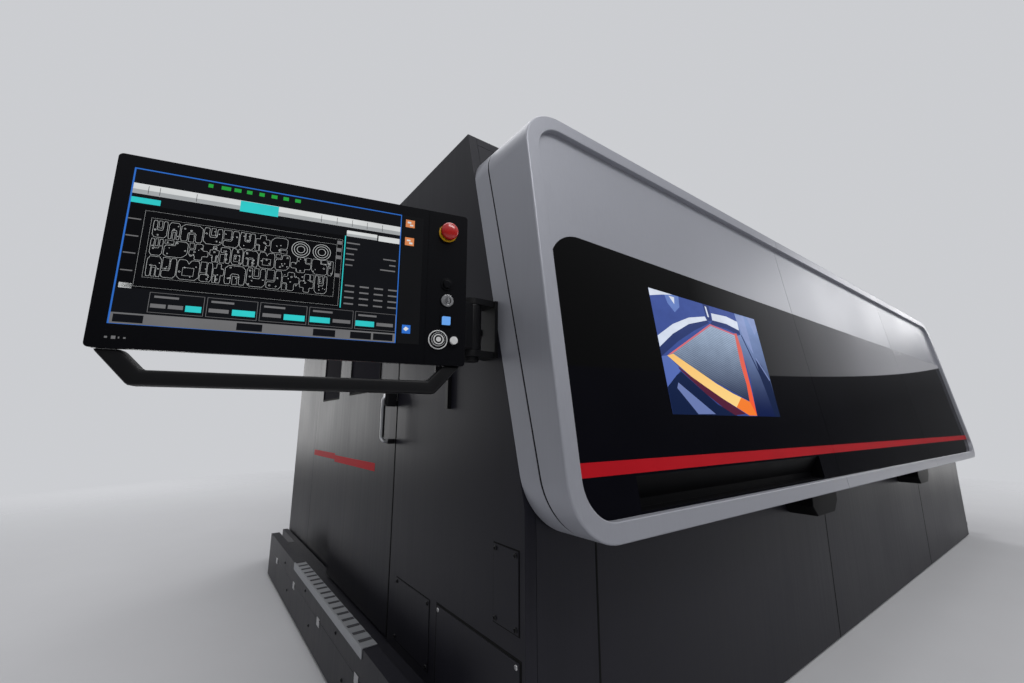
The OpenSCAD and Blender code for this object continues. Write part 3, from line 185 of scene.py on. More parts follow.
def round_edges(obj, width, segments=2, angle=35):
    """Rounds every edge sharper than the angle."""
    only(obj)
    bevel = obj.modifiers.new("round", "BEVEL")
    bevel.width = width
    bevel.segments = segments
    bevel.limit_method = "ANGLE"
    bevel.angle_limit = math.radians(angle)
    bpy.ops.object.modifier_apply(modifier=bevel.name)


def smooth(obj, angle=32):
    """Smooth shading that keeps edges sharper than the angle, and flat faces flat beside rounded edges."""
    only(obj)
    bpy.ops.object.shade_smooth_by_angle(angle=math.radians(angle))
    weight = obj.modifiers.new("weight", "WEIGHTED_NORMAL")
    weight.keep_sharp = True
    bpy.ops.object.modifier_apply(modifier=weight.name)


def settle(obj):
    """Puts an object's place into its mesh."""
    only(obj)
    bpy.ops.object.transform_apply(location=True, rotation=True, scale=True)


def hand_over(obj, name, body, slot, finish=None, replaces=()):
    """Names a finished piece, paints it and fastens it to its body."""
    obj.name = name
    obj.data.name = name
    obj.data.materials.clear()
    obj.data.materials.append(FINISH[finish or slot])
    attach(obj, body)
    if replaces:
        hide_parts(*replaces)


def place(obj, matrix):
    """Moves a piece that was modelled at the origin to its place."""
    obj.matrix_world = matrix
    bpy.context.view_layer.update()
    settle(obj)


def mount(obj, matrix, *label):
    """Moves a piece to its place and hands it over."""
    place(obj, matrix)
    hand_over(obj, *label)


def primitive(kind, **sizes):
    """Adds a mesh primitive with nothing else selected and returns its object."""
    bpy.ops.object.select_all(action="DESELECT")
    getattr(bpy.ops.mesh, "primitive_" + kind + "_add")(**sizes)
    return bpy.context.object


def linked(name, data):
    """A new object of the scene."""
    obj = bpy.data.objects.new(name, data)
    bpy.context.scene.collection.objects.link(obj)
    return obj


def block(lo, hi, edge, segments=2):
    """A plate or block between two corners, with rounded edges."""
    lo, hi = Vector(lo), Vector(hi)
    obj = primitive("cube", size=1.0, location=(lo + hi) / 2)
    obj.scale = hi - lo
    settle(obj)
    round_edges(obj, edge, segments)
    smooth(obj)
    return obj


def join(objs):
    """Joins objects into the first one."""
    only(objs[0])
    for obj in objs[1:]:
        obj.select_set(True)
    bpy.ops.object.join()
    return objs[0]


def merged_copy(node):
    """A copy of a part's mesh with its triangles merged into whole faces."""
    obj = linked(node + "_dressed", frame["nodes"][node].data.copy())
    edit_mesh(obj)
    bpy.ops.mesh.select_all(action="SELECT")
    bpy.ops.mesh.remove_doubles(threshold=SAME_PLACE)
    bpy.ops.mesh.dissolve_limited(angle_limit=math.radians(0.4))
    leave_edit()
    bpy.ops.mesh.customdata_custom_splitnormals_clear()
    return obj


def take_over(obj, node, finish=None):
    """Hands over a piece in place of the part that it was copied from."""
    hand_over(obj, node + "_dressed", frame["nodes"][node]["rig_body"], SLOT_OF[node], finish, [node])


def dress(node, width, finish=None):
    """Replaces a part by a copy of it with rounded edges."""
    obj = merged_copy(node)
    round_edges(obj, width)
    smooth(obj)
    take_over(obj, node, finish)


# Shader nodes

def feed(tree, sockets, values):
    """Sets input sockets to values, or links them to other sockets."""
    for key, value in values.items():
        if isinstance(value, bpy.types.NodeSocket):
            tree.links.new(value, sockets[key])
        else:
            sockets[key].default_value = value


def put(tree, kind, inputs=None, **settings):
    """Adds a shader node, with values or links for its inputs."""
    node = tree.nodes.new("ShaderNode" + kind)
    for key, value in settings.items():
        setattr(node, key, value)
    feed(tree, node.inputs, inputs or {})
    return node


def math_node(tree, operation, *values):
    """The result of a sum on values or sockets."""
    return put(tree, "Math", dict(enumerate(values)), operation=operation).outputs[0]


def times(tree, a, b):
    """One value times another."""
    return math_node(tree, "MULTIPLY", a, b)


def blend(tree, factor, low, high):
    """A colour between two colours."""
    low, high = [c if isinstance(c, bpy.types.NodeSocket) else (*c[:3], 1.0) for c in (low, high)]
    return put(tree, "Mix", {0: factor, 6: low, 7: high}, data_type="RGBA").outputs[2]


def spread(tree, value, low, high, start=0.0, end=1.0, way="LINEAR"):
    """A value carried from one range to another, held at its ends."""
    return put(tree, "MapRange", {"Value": value, "From Min": start, "From Max": end, "To Min": low,
                                  "To Max": high}, interpolation_type=way).outputs["Result"]


def object_place(tree):
    """The place of a point in the machine's frame."""
    return put(tree, "TexCoord").outputs["Object"]


def parted(tree, vector):
    """The X, Y and Z of a vector."""
    return put(tree, "SeparateXYZ", {"Vector": vector}).outputs


def noise(tree, where, scale, detail, rough=0.5):
    """Soft noise from 0 to 1."""
    return put(tree, "TexNoise", {"Vector": where, "Scale": scale, "Detail": detail,
                                  "Roughness": rough}).outputs["Fac"]


def new_group(name, inputs, outputs):
    """A shader node group with named sockets: its tree, its input sockets and its output node."""
    tree = bpy.data.node_groups.new(name, "ShaderNodeTree")
    for label, value in inputs.items():
        socket = tree.interface.new_socket(label, in_out="INPUT", socket_type="NodeSocketFloat")
        socket.default_value = value
    for label in outputs:
        tree.interface.new_socket(label, in_out="OUTPUT", socket_type="NodeSocketFloat")
    return tree, tree.nodes.new("NodeGroupInput").outputs, tree.nodes.new("NodeGroupOutput").inputs


def grain_group():
    """Fine peel of a sprayed or moulded surface."""
    tree, given, out = new_group("Surface grain", {"Scale": SHEET_GRAIN}, ["Height", "Tone"])
    where = object_place(tree)
    fine = noise(tree, where, given["Scale"], 3.0)
    broad = noise(tree, where, 1.7, 3.0)
    feed(tree, out, {"Height": fine, "Tone": spread(tree, broad, 0.0, 1.0, 0.3, 0.7)})


def streak_group():
    """Long fine streaks of a rolled or brushed sheet, up and down the machine."""
    tree, given, out = new_group("Sheet streaks", {"Across": 90.0, "Along": 1.2}, ["Tone"])
    across = given["Across"]
    stretch = put(tree, "CombineXYZ", {"X": across, "Y": across, "Z": given["Along"]}).outputs[0]
    scaled = put(tree, "VectorMath", {0: object_place(tree), 1: stretch}, operation="MULTIPLY").outputs[0]
    feed(tree, out, {"Tone": spread(tree, noise(tree, scaled, 1.0, 5.0, 0.65), 0.0, 1.0, 0.32, 0.68)})


def dust_group():
    """A thin veil that settles on faces that look up."""
    tree, given, out = new_group("Settled dust", {"Amount": 0.5}, ["Mask"])
    up = parted(tree, put(tree, "NewGeometry").outputs["Normal"])["Z"]
    patch = spread(tree, noise(tree, object_place(tree), 7.0, 6.0), 0.0, 1.0, 0.4, 0.75)
    flat = spread(tree, up, 0.0, 1.0, 0.6, 0.95)
    feed(tree, out, {"Mask": times(tree, times(tree, patch, flat), given["Amount"])})


def grouped(tree, name, **values):
    """Places a node group with its own values and returns its outputs."""
    return put(tree, "Group", values, node_tree=bpy.data.node_groups[name]).outputs


def bare_tree(data):
    """The emptied node tree of a new material or world."""
    data.use_nodes = True
    data.node_tree.nodes.clear()
    return data.node_tree


def new_finish(name):
    """A material with its Principled shader: its tree and the shader's inputs."""
    FINISH[name] = bpy.data.materials.new(name)
    tree = bare_tree(FINISH[name])
    shader = put(tree, "BsdfPrincipled")
    put(tree, "OutputMaterial", {"Surface": shader.outputs[0]})
    return tree, shader.inputs


def shade_of(base, share):
    """A colour made darker or lighter."""
    return [min(1.0, c * share) for c in base[:3]]


def bumps(tree, grain, strength, depth):
    """A normal with fine bumps."""
    return put(tree, "Bump", {"Height": grain["Height"], "Strength": strength, "Distance": depth}).outputs[0]


SHEET_GRAIN, MOULD_GRAIN = 420.0, 900.0
# Share of the streaks in a sheet's tones; the rest comes from broad patches
STREAK_SHARE = 0.55
DUST = (0.30, 0.29, 0.27)


def sheet_finish(name, base, rough, metallic, dark=0.8, light=1.15, across=90.0, along=1.2, dust=0.0,
                 peel=0.05, specular=0.5):
    """Painted or bare sheet: streaks, broad patches, fine peel and a little dust."""
    tree, shader = new_finish(name)
    streak = grouped(tree, "Sheet streaks", Across=across, Along=along)["Tone"]
    grain = grouped(tree, "Surface grain", Scale=SHEET_GRAIN)
    tone = math_node(tree, "ADD", times(tree, streak, STREAK_SHARE),
                     times(tree, grain["Tone"], 1 - STREAK_SHARE))
    tint = blend(tree, tone, shade_of(base, dark), shade_of(base, light))
    if dust:
        tint = blend(tree, grouped(tree, "Settled dust", Amount=dust)["Mask"], tint, DUST)
    feed(tree, shader, {"Base Color": tint, "Roughness": spread(tree, tone, rough - 0.05, rough + 0.06),
                        "Normal": bumps(tree, grain, peel, 0.0004), "Metallic": metallic,
                        "Specular IOR Level": specular})


def moulded_finish(name, base, rough, specular=0.5, coat=0.0):
    """Moulded plastic, rubber or fine powder coat: grain and broad patches."""
    tree, shader = new_finish(name)
    grain = grouped(tree, "Surface grain", Scale=MOULD_GRAIN)
    tone = grain["Tone"]
    feed(tree, shader, {"Base Color": blend(tree, tone, shade_of(base, 0.86), shade_of(base, 1.12)),
                        "Roughness": spread(tree, tone, rough - 0.04, rough + 0.05),
                        "Normal": bumps(tree, grain, 0.08, 0.0003), "Coat Weight": coat,
                        "Coat Roughness": 0.04, "Specular IOR Level": specular})


def lit_finish(name, base, strength=1.0, dim=0.82, foot=None):
    """A lit field of a screen, under glass, with soft bands; on the monitor it changes colour downwards."""
    tree, shader = new_finish(name)
    tone = grouped(tree, "Sheet streaks", Across=7.0, Along=11.0)["Tone"]
    tint = blend(tree, tone, shade_of(base, dim), base)
    if foot:
        height = parted(tree, object_place(tree))["Z"]
        down = spread(tree, height, 0.0, 1.0, SCREEN_HI.z, SCREEN_LO.z, "SMOOTHSTEP")
        tint = blend(tree, down, tint, foot)
    feed(tree, shader, {"Emission Color": tint, "Emission Strength": strength, "Roughness": 0.14,
                        "Base Color": (0.004, 0.004, 0.005, 1.0), "Specular IOR Level": 0.07})


# Lower edge of the silver sweep on the gloss panel: height at the middle, slope and bend, per metre along X
SWEEP_HEIGHT, SWEEP_SLOPE, SWEEP_BEND = 1.4412, 0.0784, 0.00777
SWEEP_FROM, SWEEP_TO = -2.05, 2.35
# Tones of the sweep along its run, and how blue they are
SWEEP_TONES = ((0.0, 0.004), (0.13, 0.05), (0.25, 0.10), (0.36, 0.18), (0.48, 0.31), (0.66, 0.46),
               (0.9, 0.54))
SWEEP_BLUE = 1.05


def gloss_finish(name, base):
    """Gloss black panel with a printed silver sweep that fades out to the left."""
    tree, shader = new_finish(name)
    where = parted(tree, object_place(tree))
    along = where["X"]
    line = math_node(tree, "ADD", times(tree, times(tree, along, along), SWEEP_BEND),
                     times(tree, along, SWEEP_SLOPE))
    rise = math_node(tree, "SUBTRACT", math_node(tree, "SUBTRACT", where["Z"], line), SWEEP_HEIGHT)
    above = spread(tree, rise, 0.0, 1.0, -0.002, 0.004)
    ramp = put(tree, "ValToRGB", {"Fac": spread(tree, along, 0.0, 1.0, SWEEP_FROM, SWEEP_TO)})
    elements = ramp.color_ramp.elements
    while len(elements) < len(SWEEP_TONES):
        elements.new(0.5)
    for element, (position, tone) in zip(elements, SWEEP_TONES):
        element.position = position
        element.color = (tone, tone, tone * SWEEP_BLUE, 1.0)
    tone = grouped(tree, "Surface grain", Scale=300.0)["Tone"]
    black = blend(tree, tone, shade_of(base, 0.8), shade_of(base, 1.2))
    feed(tree, shader, {"Base Color": blend(tree, above, black, ramp.outputs["Color"]),
                        "Roughness": spread(tree, tone, 0.05, 0.09), "Specular IOR Level": 0.03})


def pane_finish(name):
    """Dark laser-safe window pane."""
    tree, shader = new_finish(name)
    tone = grouped(tree, "Surface grain", Scale=60.0)["Tone"]
    feed(tree, shader, {"Base Color": blend(tree, tone, (0.016, 0.015, 0.020), (0.021, 0.020, 0.026)),
                        "Roughness": spread(tree, tone, 0.34, 0.42), "Transmission Weight": 0.12,
                        "IOR": 1.03, "Specular IOR Level": 0.04})


class CUTTER_OT_finishes(bpy.types.Operator):
    """Makes the shared node groups and every finish, and paints the parts"""
    bl_idname = "cutter.finishes"
    bl_label = "Finishes"

    def execute(self, context):
        c = context.scene.cutter_colours
        grain_group()
        streak_group()
        dust_group()
        sheet_finish("charcoal_paint", c.charcoal, 0.42, 0.15, 0.78, 1.2, across=55.0, specular=0.24)
        sheet_finish("silver_paint", c.silver, 0.43, 0.3, 0.95, 1.04, across=160.0, along=4.0)
        sheet_finish("machined_steel", c.steel, 0.28, 1.0, across=30.0, along=30.0, peel=0.03)
        sheet_finish("bright_steel", (0.70, 0.71, 0.73), 0.34, 0.9, 0.95, 1.03, peel=0.0)
        sheet_finish("frame_grey", c.frame, 0.5, 0.0, dust=0.25)
        sheet_finish("pallet_orange", c.pallet, 0.48, 0.0, dust=0.35)
        sheet_finish("slat_steel", (0.30, 0.275, 0.25), 0.55, 0.5, 0.5, 1.4, 14.0, 14.0, dust=0.3)
        sheet_finish("tread_grey", c.tread, 0.42, 0.5, 0.85, across=60.0, along=60.0, dust=0.2)
        sheet_finish("copper", (0.62, 0.30, 0.17), 0.25, 1.0, across=40.0, along=200.0)
        moulded_finish("red_stripe", c.stripe, 0.5, 0.05)
        moulded_finish("rubber_black", (0.0035, 0.0035, 0.0035), 0.75, 0.15)
        moulded_finish("black_metal", (0.0050, 0.0050, 0.0060), 0.42, 0.3)
        # Dark grey for the tread's grooves: painted shade between the ribs
        moulded_finish("tread_groove", (0.055, 0.055, 0.060), 0.7, 0.15)
        # Near-black with little sheen: for the grip pocket, and painted shade on the bracket blocks under the
        # ring
        moulded_finish("pocket_black", (0.0020, 0.0020, 0.0026), 0.5, 0.08)
        moulded_finish("console_black", c.console, 0.2, 0.16)
        moulded_finish("signal_red", (0.52, 0.012, 0.010), 0.22, coat=0.4)
        moulded_finish("button_white", (0.72, 0.72, 0.71), 0.3, coat=0.3)
        moulded_finish("signal_yellow", (0.75, 0.42, 0.01), 0.35)
        lit_finish("screen", (0.0025, 0.0030, 0.0042))
        lit_finish("button_blue", (0.16, 0.42, 0.95), 0.9)
        gloss_finish("gloss_black", c.gloss)
        pane_finish("dark_pane")
        for node, obj in frame["nodes"].items():
            obj.data.materials.clear()
            obj.data.materials.append(FINISH[SLOT_OF[node]])
        return {"FINISHED"}


# Ring front

RING_FACE = PANEL_FOOT - RING_LO.z
RING_RADIUS = 0.170
# How near a point lies to the ring's face, and to one of its rims, to count as on it
ON_FACE, ON_RIM = 0.0004, 0.0008


def ring_distance(x, z):
    """How far a point of the ring's outline plane lies inside its outer edge."""
    middle = Vector(((RING_LO.x + RING_END) / 2, (RING_LO.z + RING_HI.z) / 2))
    half = Vector(((RING_END - RING_LO.x) / 2, (RING_HI.z - RING_LO.z) / 2))
    corner = Vector((abs(x - middle.x) - half.x + RING_RADIUS, abs(z - middle.y) - half.y + RING_RADIUS))
    outside = Vector((max(corner.x, 0.0), max(corner.y, 0.0))).length
    return RING_RADIUS - outside - min(max(corner.x, corner.y), 0.0)


def ring_lean():
    """Slope of the ring's face, as depth for each metre of height, and its depth at the ring's foot."""
    points = [v.co for v in frame["nodes"]["bezel_door"].data.vertices]
    low = min(p.y for p in points if p.z < RING_LO.z + 0.0005)
    high = min(p.y for p in points if p.z > RING_HI.z - 0.0005)
    return (high - low) / (RING_HI.z - RING_LO.z), low


LEAN, FOOT_Y = ring_lean()


def face_depth(point):
    """How far a point lies behind the ring's face."""
    return point.y - FOOT_Y - LEAN * (point.z - RING_LO.z)


def ring_outward(x, z, step=0.001):
    """The way straight out of the ring's outline at a point near it."""
    return Vector((ring_distance(x - step, z) - ring_distance(x + step, z), 0.0,
                   ring_distance(x, z - step) - ring_distance(x, z + step))).normalized()


class CUTTER_OT_ring(bpy.types.Operator):
    """Rounds the ring sections' outer and inner front edges, and brings their seal out to the parting gap"""
    bl_idname = "cutter.ring"
    bl_label = "Ring"

    # How far below the ring's surface the seal lies, and how near the outline its outer wall is in the part
    SEAL_DEPTH, SEAL_WALL = 0.0015, 0.010

    def execute(self, context):
        sizes = context.scene.cutter_sizes
        for node in ("bezel_door", "bezel_fixed"):
            obj = merged_copy(node)
            self.round_rim(obj, 0.0, sizes.ring_edge, 5)
            self.round_rim(obj, RING_FACE, sizes.ring_lip, 3)
            smooth(obj, 28)
            take_over(obj, node)
        self.seal()
        return {"FINISHED"}

    def round_rim(self, obj, inset, radius, steps):
        """Rounds the edges of the face that lie along one rim, inside the outline by the inset."""
        def on_rim(edge):
            """Whether an edge lies on the face, along this rim."""
            return all(abs(face_depth(v.co)) < ON_FACE
                       and abs(ring_distance(v.co.x, v.co.z) - inset) < ON_RIM for v in edge.verts)
        edit_mesh(obj)
        pick(obj, edges=on_rim)
        bpy.ops.mesh.bevel(offset=radius, segments=steps, profile=0.5, affect="EDGES")
        leave_edit()

    def seal(self):
        """The seal with its outer wall moved out until it closes the parting gap."""
        obj = merged_copy("ring_seal")
        for vert in obj.data.vertices:
            inset = ring_distance(vert.co.x, vert.co.z)
            if inset < self.SEAL_WALL:
                vert.co += ring_outward(vert.co.x, vert.co.z) * (inset - self.SEAL_DEPTH)
        smooth(obj)
        take_over(obj, "ring_seal")


class CUTTER_OT_panels(bpy.types.Operator):
    """Rounds the folds of the cabin's panels, the step, the console and the moving parts"""
    bl_idname = "cutter.panels"
    bl_label = "Panels"

    FOLDED = ("left_front_panel", "left_rear_panel", "left_header", "operator_door", "front_skirt",
              "front_wall", "roof", "back_wall", "right_end_wall", "mounting_frame", "service_covers", "step",
              "shutter")
    # Parts with the radius of their edges, and with a finish where it isn't their slot's own
    SOLID = (("console_shell", 0.006), ("console_front", 0.003), ("console_handle", 0.006),
             ("console_arm", 0.008), ("arm_bracket", 0.004), ("gantry", 0.008), ("head_carriage", 0.004),
             ("head_slide", 0.003), ("pallet_frame", 0.006), ("base_frame", 0.006), ("step_tread", 0.001),
             ("square_button", 0.0012),
             ("scrap_tray", 0.001), ("estop", 0.001), ("dark_button", 0.0006), ("white_button", 0.0006),
             ("cutting_head", 0.002), ("grip_pocket", 0.0012, "pocket_black"),
             # The bracket blocks take the near-black finish as painted shade, as if in shadow under the ring
             ("bracket_blocks", 0.006, "pocket_black"), ("door_handle", 0.0015, "bright_steel"),
             ("hinge_plates", 0.001, "silver_paint"), ("hinge_leaves", 0.001, "silver_paint"))

    def execute(self, context):
        for node in self.FOLDED:
            dress(node, context.scene.cutter_sizes.fold)
        for part in self.SOLID:
            dress(*part)
        return {"FINISHED"}


# Screens, laid out in thousandths: of a screen's width and height for places, of a metre for heights above it

THOUSAND = 1000


def upright(centre, turn, lean):
    """A matrix that stands a piece drawn in X and Y upright, turned about Z and leaning back."""
    return (Matrix.Translation(centre) @ Matrix.Rotation(turn, 4, "Z")
            @ Matrix.Rotation(math.pi / 2 - lean, 4, "X"))


def add_field(obj, corners, rise):
    """Adds one flat field to the edit mesh, some way in front of the glass."""
    bpy.ops.mesh.select_all(action="DESELECT")
    bpy.ops.mesh.primitive_circle_add(vertices=len(corners), fill_type="NGON")
    mesh = bmesh.from_edit_mesh(obj.data)
    new = next(f for f in mesh.faces if f.select)
    for vert, (x, y) in zip(new.verts, corners):
        vert.co = (x, y, rise / THOUSAND)
    bmesh.update_edit_mesh(obj.data)


class Screen:
    """A flat screen on which fields are laid, with places from its upper left corner."""

    def __init__(self, width, height, matrix, body):
        self.width, self.height, self.matrix, self.body = width, height, matrix, body

    def point(self, u, v):
        """A place on the screen, in metres from its middle."""
        return (u / THOUSAND - 0.5) * self.width, (0.5 - v / THOUSAND) * self.height

    def start(self, name):
        """An empty mesh, open in edit mode, for the fields of one finish."""
        obj = linked(name, bpy.data.meshes.new(name))
        edit_mesh(obj)
        return obj

    def lay(self, obj, shapes, rise):
        """Adds fields to an open mesh; a shape is a box from corner to corner, or a list of its corners."""
        for shape in shapes:
            if isinstance(shape, tuple):
                u0, v0, u1, v1 = shape
                shape = [(u0, v1), (u1, v1), (u1, v0), (u0, v0)]
            add_field(obj, [self.point(*p) for p in shape], rise)

    def done(self, obj, name, finish):
        """Turns the faces outwards, stands the fields on the screen and hands them over."""
        bpy.ops.mesh.select_all(action="SELECT")
        leave_edit()
        mesh = bmesh.new()
        mesh.from_mesh(obj.data)
        for face in mesh.faces:
            if face.normal.z < 0:
                face.normal_flip()
        mesh.to_mesh(obj.data)
        mesh.free()
        mount(obj, self.matrix, name, self.body, "screen", finish)

    def fields(self, name, finish, rise, shapes):
        """Lays flat fields of one finish."""
        obj = self.start(name)
        self.lay(obj, shapes, rise)
        self.done(obj, name, finish)


def frame_boxes(u0, v0, u1, v1, du, dv):
    """The four bars of a rectangular outline."""
    return [(u0, v0, u1, v0 + dv), (u0, v1 - dv, u1, v1), (u0, v0 + dv, u0 + du, v1 - dv),
            (u1 - du, v0 + dv, u1, v1 - dv)]


def spans(v0, v1, *ends):
    """Boxes between two heights, each from one place across to another."""
    return [(a, v0, b, v1) for a, b in ends]


def band(upper, lower):
    """The fields of a band between two lines of points."""
    return [[lower[i], lower[i + 1], upper[i + 1], upper[i]] for i in range(len(upper) - 1)]


def between(a, b, t):
    """A point between two points."""
    return a[0] + (b[0] - a[0]) * t, a[1] + (b[1] - a[1]) * t


class CUTTER_OT_monitor(bpy.types.Operator):
    """Lays the live view of the pallet on the monitor, as plain fields of colour"""
    bl_idname = "cutter.monitor"
    bl_label = "Monitor"

    # Corners of the pallet in the picture: left, far, right and near
    BED = ((49, 546), (473, 187), (731, 230), (696, 870))
    SLATS = 30
    # Height of the first layer above the glass, and from one layer to the next
    FIRST, LAYER = 0.3, 0.08
    # Colours at the top of the picture and at its foot
    COLOURS = (("view_blue", (0.055, 0.095, 0.340), (0.035, 0.065, 0.260)),
               ("view_glow", (0.150, 0.240, 0.580), (0.075, 0.125, 0.420)),
               ("view_white", (0.74, 0.80, 0.92), (0.58, 0.66, 0.82)),
               ("view_navy", (0.030, 0.050, 0.185), (0.012, 0.026, 0.105)),
               ("view_deep", (0.012, 0.030, 0.120), (0.002, 0.010, 0.048)),
               ("view_pale", (0.27, 0.34, 0.60), (0.140, 0.190, 0.42)),
               ("view_wall", (0.220, 0.310, 0.570), (0.001, 0.008, 0.060)),
               ("view_bed", (0.480, 0.600, 0.780), (0.0005, 0.008, 0.060)),
               ("view_slat", (0.270, 0.360, 0.500), (0.0, 0.002, 0.026)),
               ("view_pink", (0.58, 0.17, 0.24), (0.84, 0.13, 0.10)),
               ("view_red", (0.66, 0.16, 0.15), (0.90, 0.10, 0.030)),
               ("view_maroon", (0.150, 0.020, 0.050), (0.080, 0.010, 0.034)),
               ("view_orange", (0.95, 0.40, 0.060), (0.90, 0.20, 0.025)),
               ("view_yellow", (0.94, 0.42, 0.080), (0.97, 0.66, 0.240)))

    def execute(self, context):
        for name, base, foot in self.COLOURS:
            lit_finish(name, base, dim=0.8, foot=foot)
        slope = math.atan(LEAN)
        middle = (SCREEN_LO + SCREEN_HI) / 2
        glass_y = SCREEN_LO.y + LEAN * (middle.z - SCREEN_LO.z)
        screen = Screen(SCREEN_HI.x - SCREEN_LO.x, (SCREEN_HI.z - SCREEN_LO.z) / math.cos(slope),
                        upright((middle.x, glass_y, middle.z), 0.0, slope), "lift_door")
        for layer, (name, finish, shapes) in enumerate(self.room() + self.bed()):
            screen.fields(name, finish, self.FIRST + self.LAYER * layer, shapes)
        return {"FINISHED"}

    def room(self):
        """Walls, light bands and floor round the pallet."""
        arc = [(0, 400), (136, 273), (285, 177), (440, 124)]
        arc_low = [(0, 490), (121, 359), (274, 238), (454, 157)]
        shade_low = [(0, 565), (153, 415), (311, 287), (470, 178)]
        far = [(512, 73), (667, 62), (778, 87)]
        far_low = [(508, 142), (649, 142), (774, 177)]
        far_shade = [(478, 190), (638, 192), (781, 225)]
        wall = [(770, 0), (1000, 0), (1000, 1000), (730, 1000), (764, 647), (745, 377), (735, 240),
                (781, 219)]
        floor = [(0, 800), (85, 700), (125, 668), (372, 910), (531, 1000), (0, 1000)]
        corner = [(943, 1000), (886, 612), (883, 440), (934, 500), (990, 650), (1000, 800), (1000, 1000)]
        skirting = [(781, 219), (793, 225), (898, 606), (886, 612)]
        pillar = [(445, 0), (505, 0), (503, 149), (456, 161)]
        lines = [[(770, 23), (869, 0), (876, 397), (808, 257)],
                 [(905, 0), (1000, 0), (1000, 121), (954, 180)],
                 [(883, 440), (895, 436), (996, 640), (985, 650)],
                 [(85, 758), (335, 991), (191, 995), (69, 802)]]
        lights = [[(0, 0), (183, 0), (92, 30), (0, 66)], [(150, 20), (195, 20), (185, 85)],
                  [(462, 20), (476, 20), (482, 120), (468, 120)]]
        return [
            ("view_back", "view_blue", [(0, 0, 1000, 1000)]),
            ("view_spot", "view_glow", [[(115, 0), (235, 0), (225, 100), (175, 160), (130, 90)]]),
            ("view_shades", "view_navy", band(arc_low, shade_low) + band(far_low, far_shade) + [pillar]),
            ("view_right_wall", "view_wall", [wall]),
            ("view_left_floor", "view_glow", [[(0, 565), (45, 550), (129, 650), (0, 810)]]),
            ("view_dark_floor", "view_deep", [floor, corner, skirting]),
            ("view_lines", "view_pale", lines),
            ("view_bands", "view_white", band(arc, arc_low) + band(far, far_low) + lights),
        ]

    def bed(self):
        """The pallet's slats and the frame round them."""
        left, far, right, near = self.BED
        slats = []
        for i in range(self.SLATS):
            t, w = (i + 0.4) / self.SLATS, 0.35 / self.SLATS
            slats.append([between(far, left, t), between(right, near, t), between(right, near, t + w),
                          between(far, left, t + w)])
        inner = [(710, 222), (703, 341), (694, 532), (704, 714), (690, 870)]
        outer = [(735, 216), (747, 376), (743, 566), (741, 772), (732, 991)]
        top = [(90, 531), (277, 653), (401, 735), (536, 808), (685, 870)]
        foot = [(42, 552), (197, 699), (306, 776), (431, 862), (651, 993)]
        edge_top = [(108, 632), (197, 699), (306, 776), (431, 862), (620, 982)]
        edge = [(114, 649), (191, 731), (294, 835), (414, 935), (510, 996)]
        rails = [[left, (84, 530), (473, 206), far], [far, (473, 204), (731, 247), right]]
        corner = [(610, 840), (690, 872), (733, 995), (651, 995), (541, 928)]
        return [
            ("view_pallet", "view_bed", [[left, near, right, far]]),
            ("view_slats", "view_slat", slats),
            ("view_rails", "view_pink", rails),
            ("view_right_rail", "view_red", band(outer, inner)),
            ("view_edge", "view_maroon", band(edge_top, edge)),
            ("view_near_rail", "view_yellow", band(top, foot)),
            ("view_near_corner", "view_orange", [corner]),
        ]


CONSOLE_TURN = math.radians(-14.1)
CONSOLE_W, CONSOLE_H = 0.660, 0.360


def console_matrix():
    """The middle of the console's face."""
    corners = [v.co for v in frame["nodes"]["console_front"].data.vertices]
    along = Vector((math.cos(CONSOLE_TURN), math.sin(CONSOLE_TURN), 0.0))
    out = Vector((math.sin(CONSOLE_TURN), -math.cos(CONSOLE_TURN), 0.0))
    reach = max(p.dot(out) for p in corners)
    sides = [p.dot(along) for p in corners]
    heights = [p.z for p in corners]
    centre = along * (min(sides) + max(sides)) / 2 + out * reach
    centre.z = (min(heights) + max(heights)) / 2
    return upright(centre, CONSOLE_TURN, 0.0)


def circle(x, y, radius, count):
    """Corners of a round outline."""
    turns = [t * math.tau / count for t in range(count)]
    return [(x + radius * math.cos(t), y + radius * math.sin(t)) for t in turns]


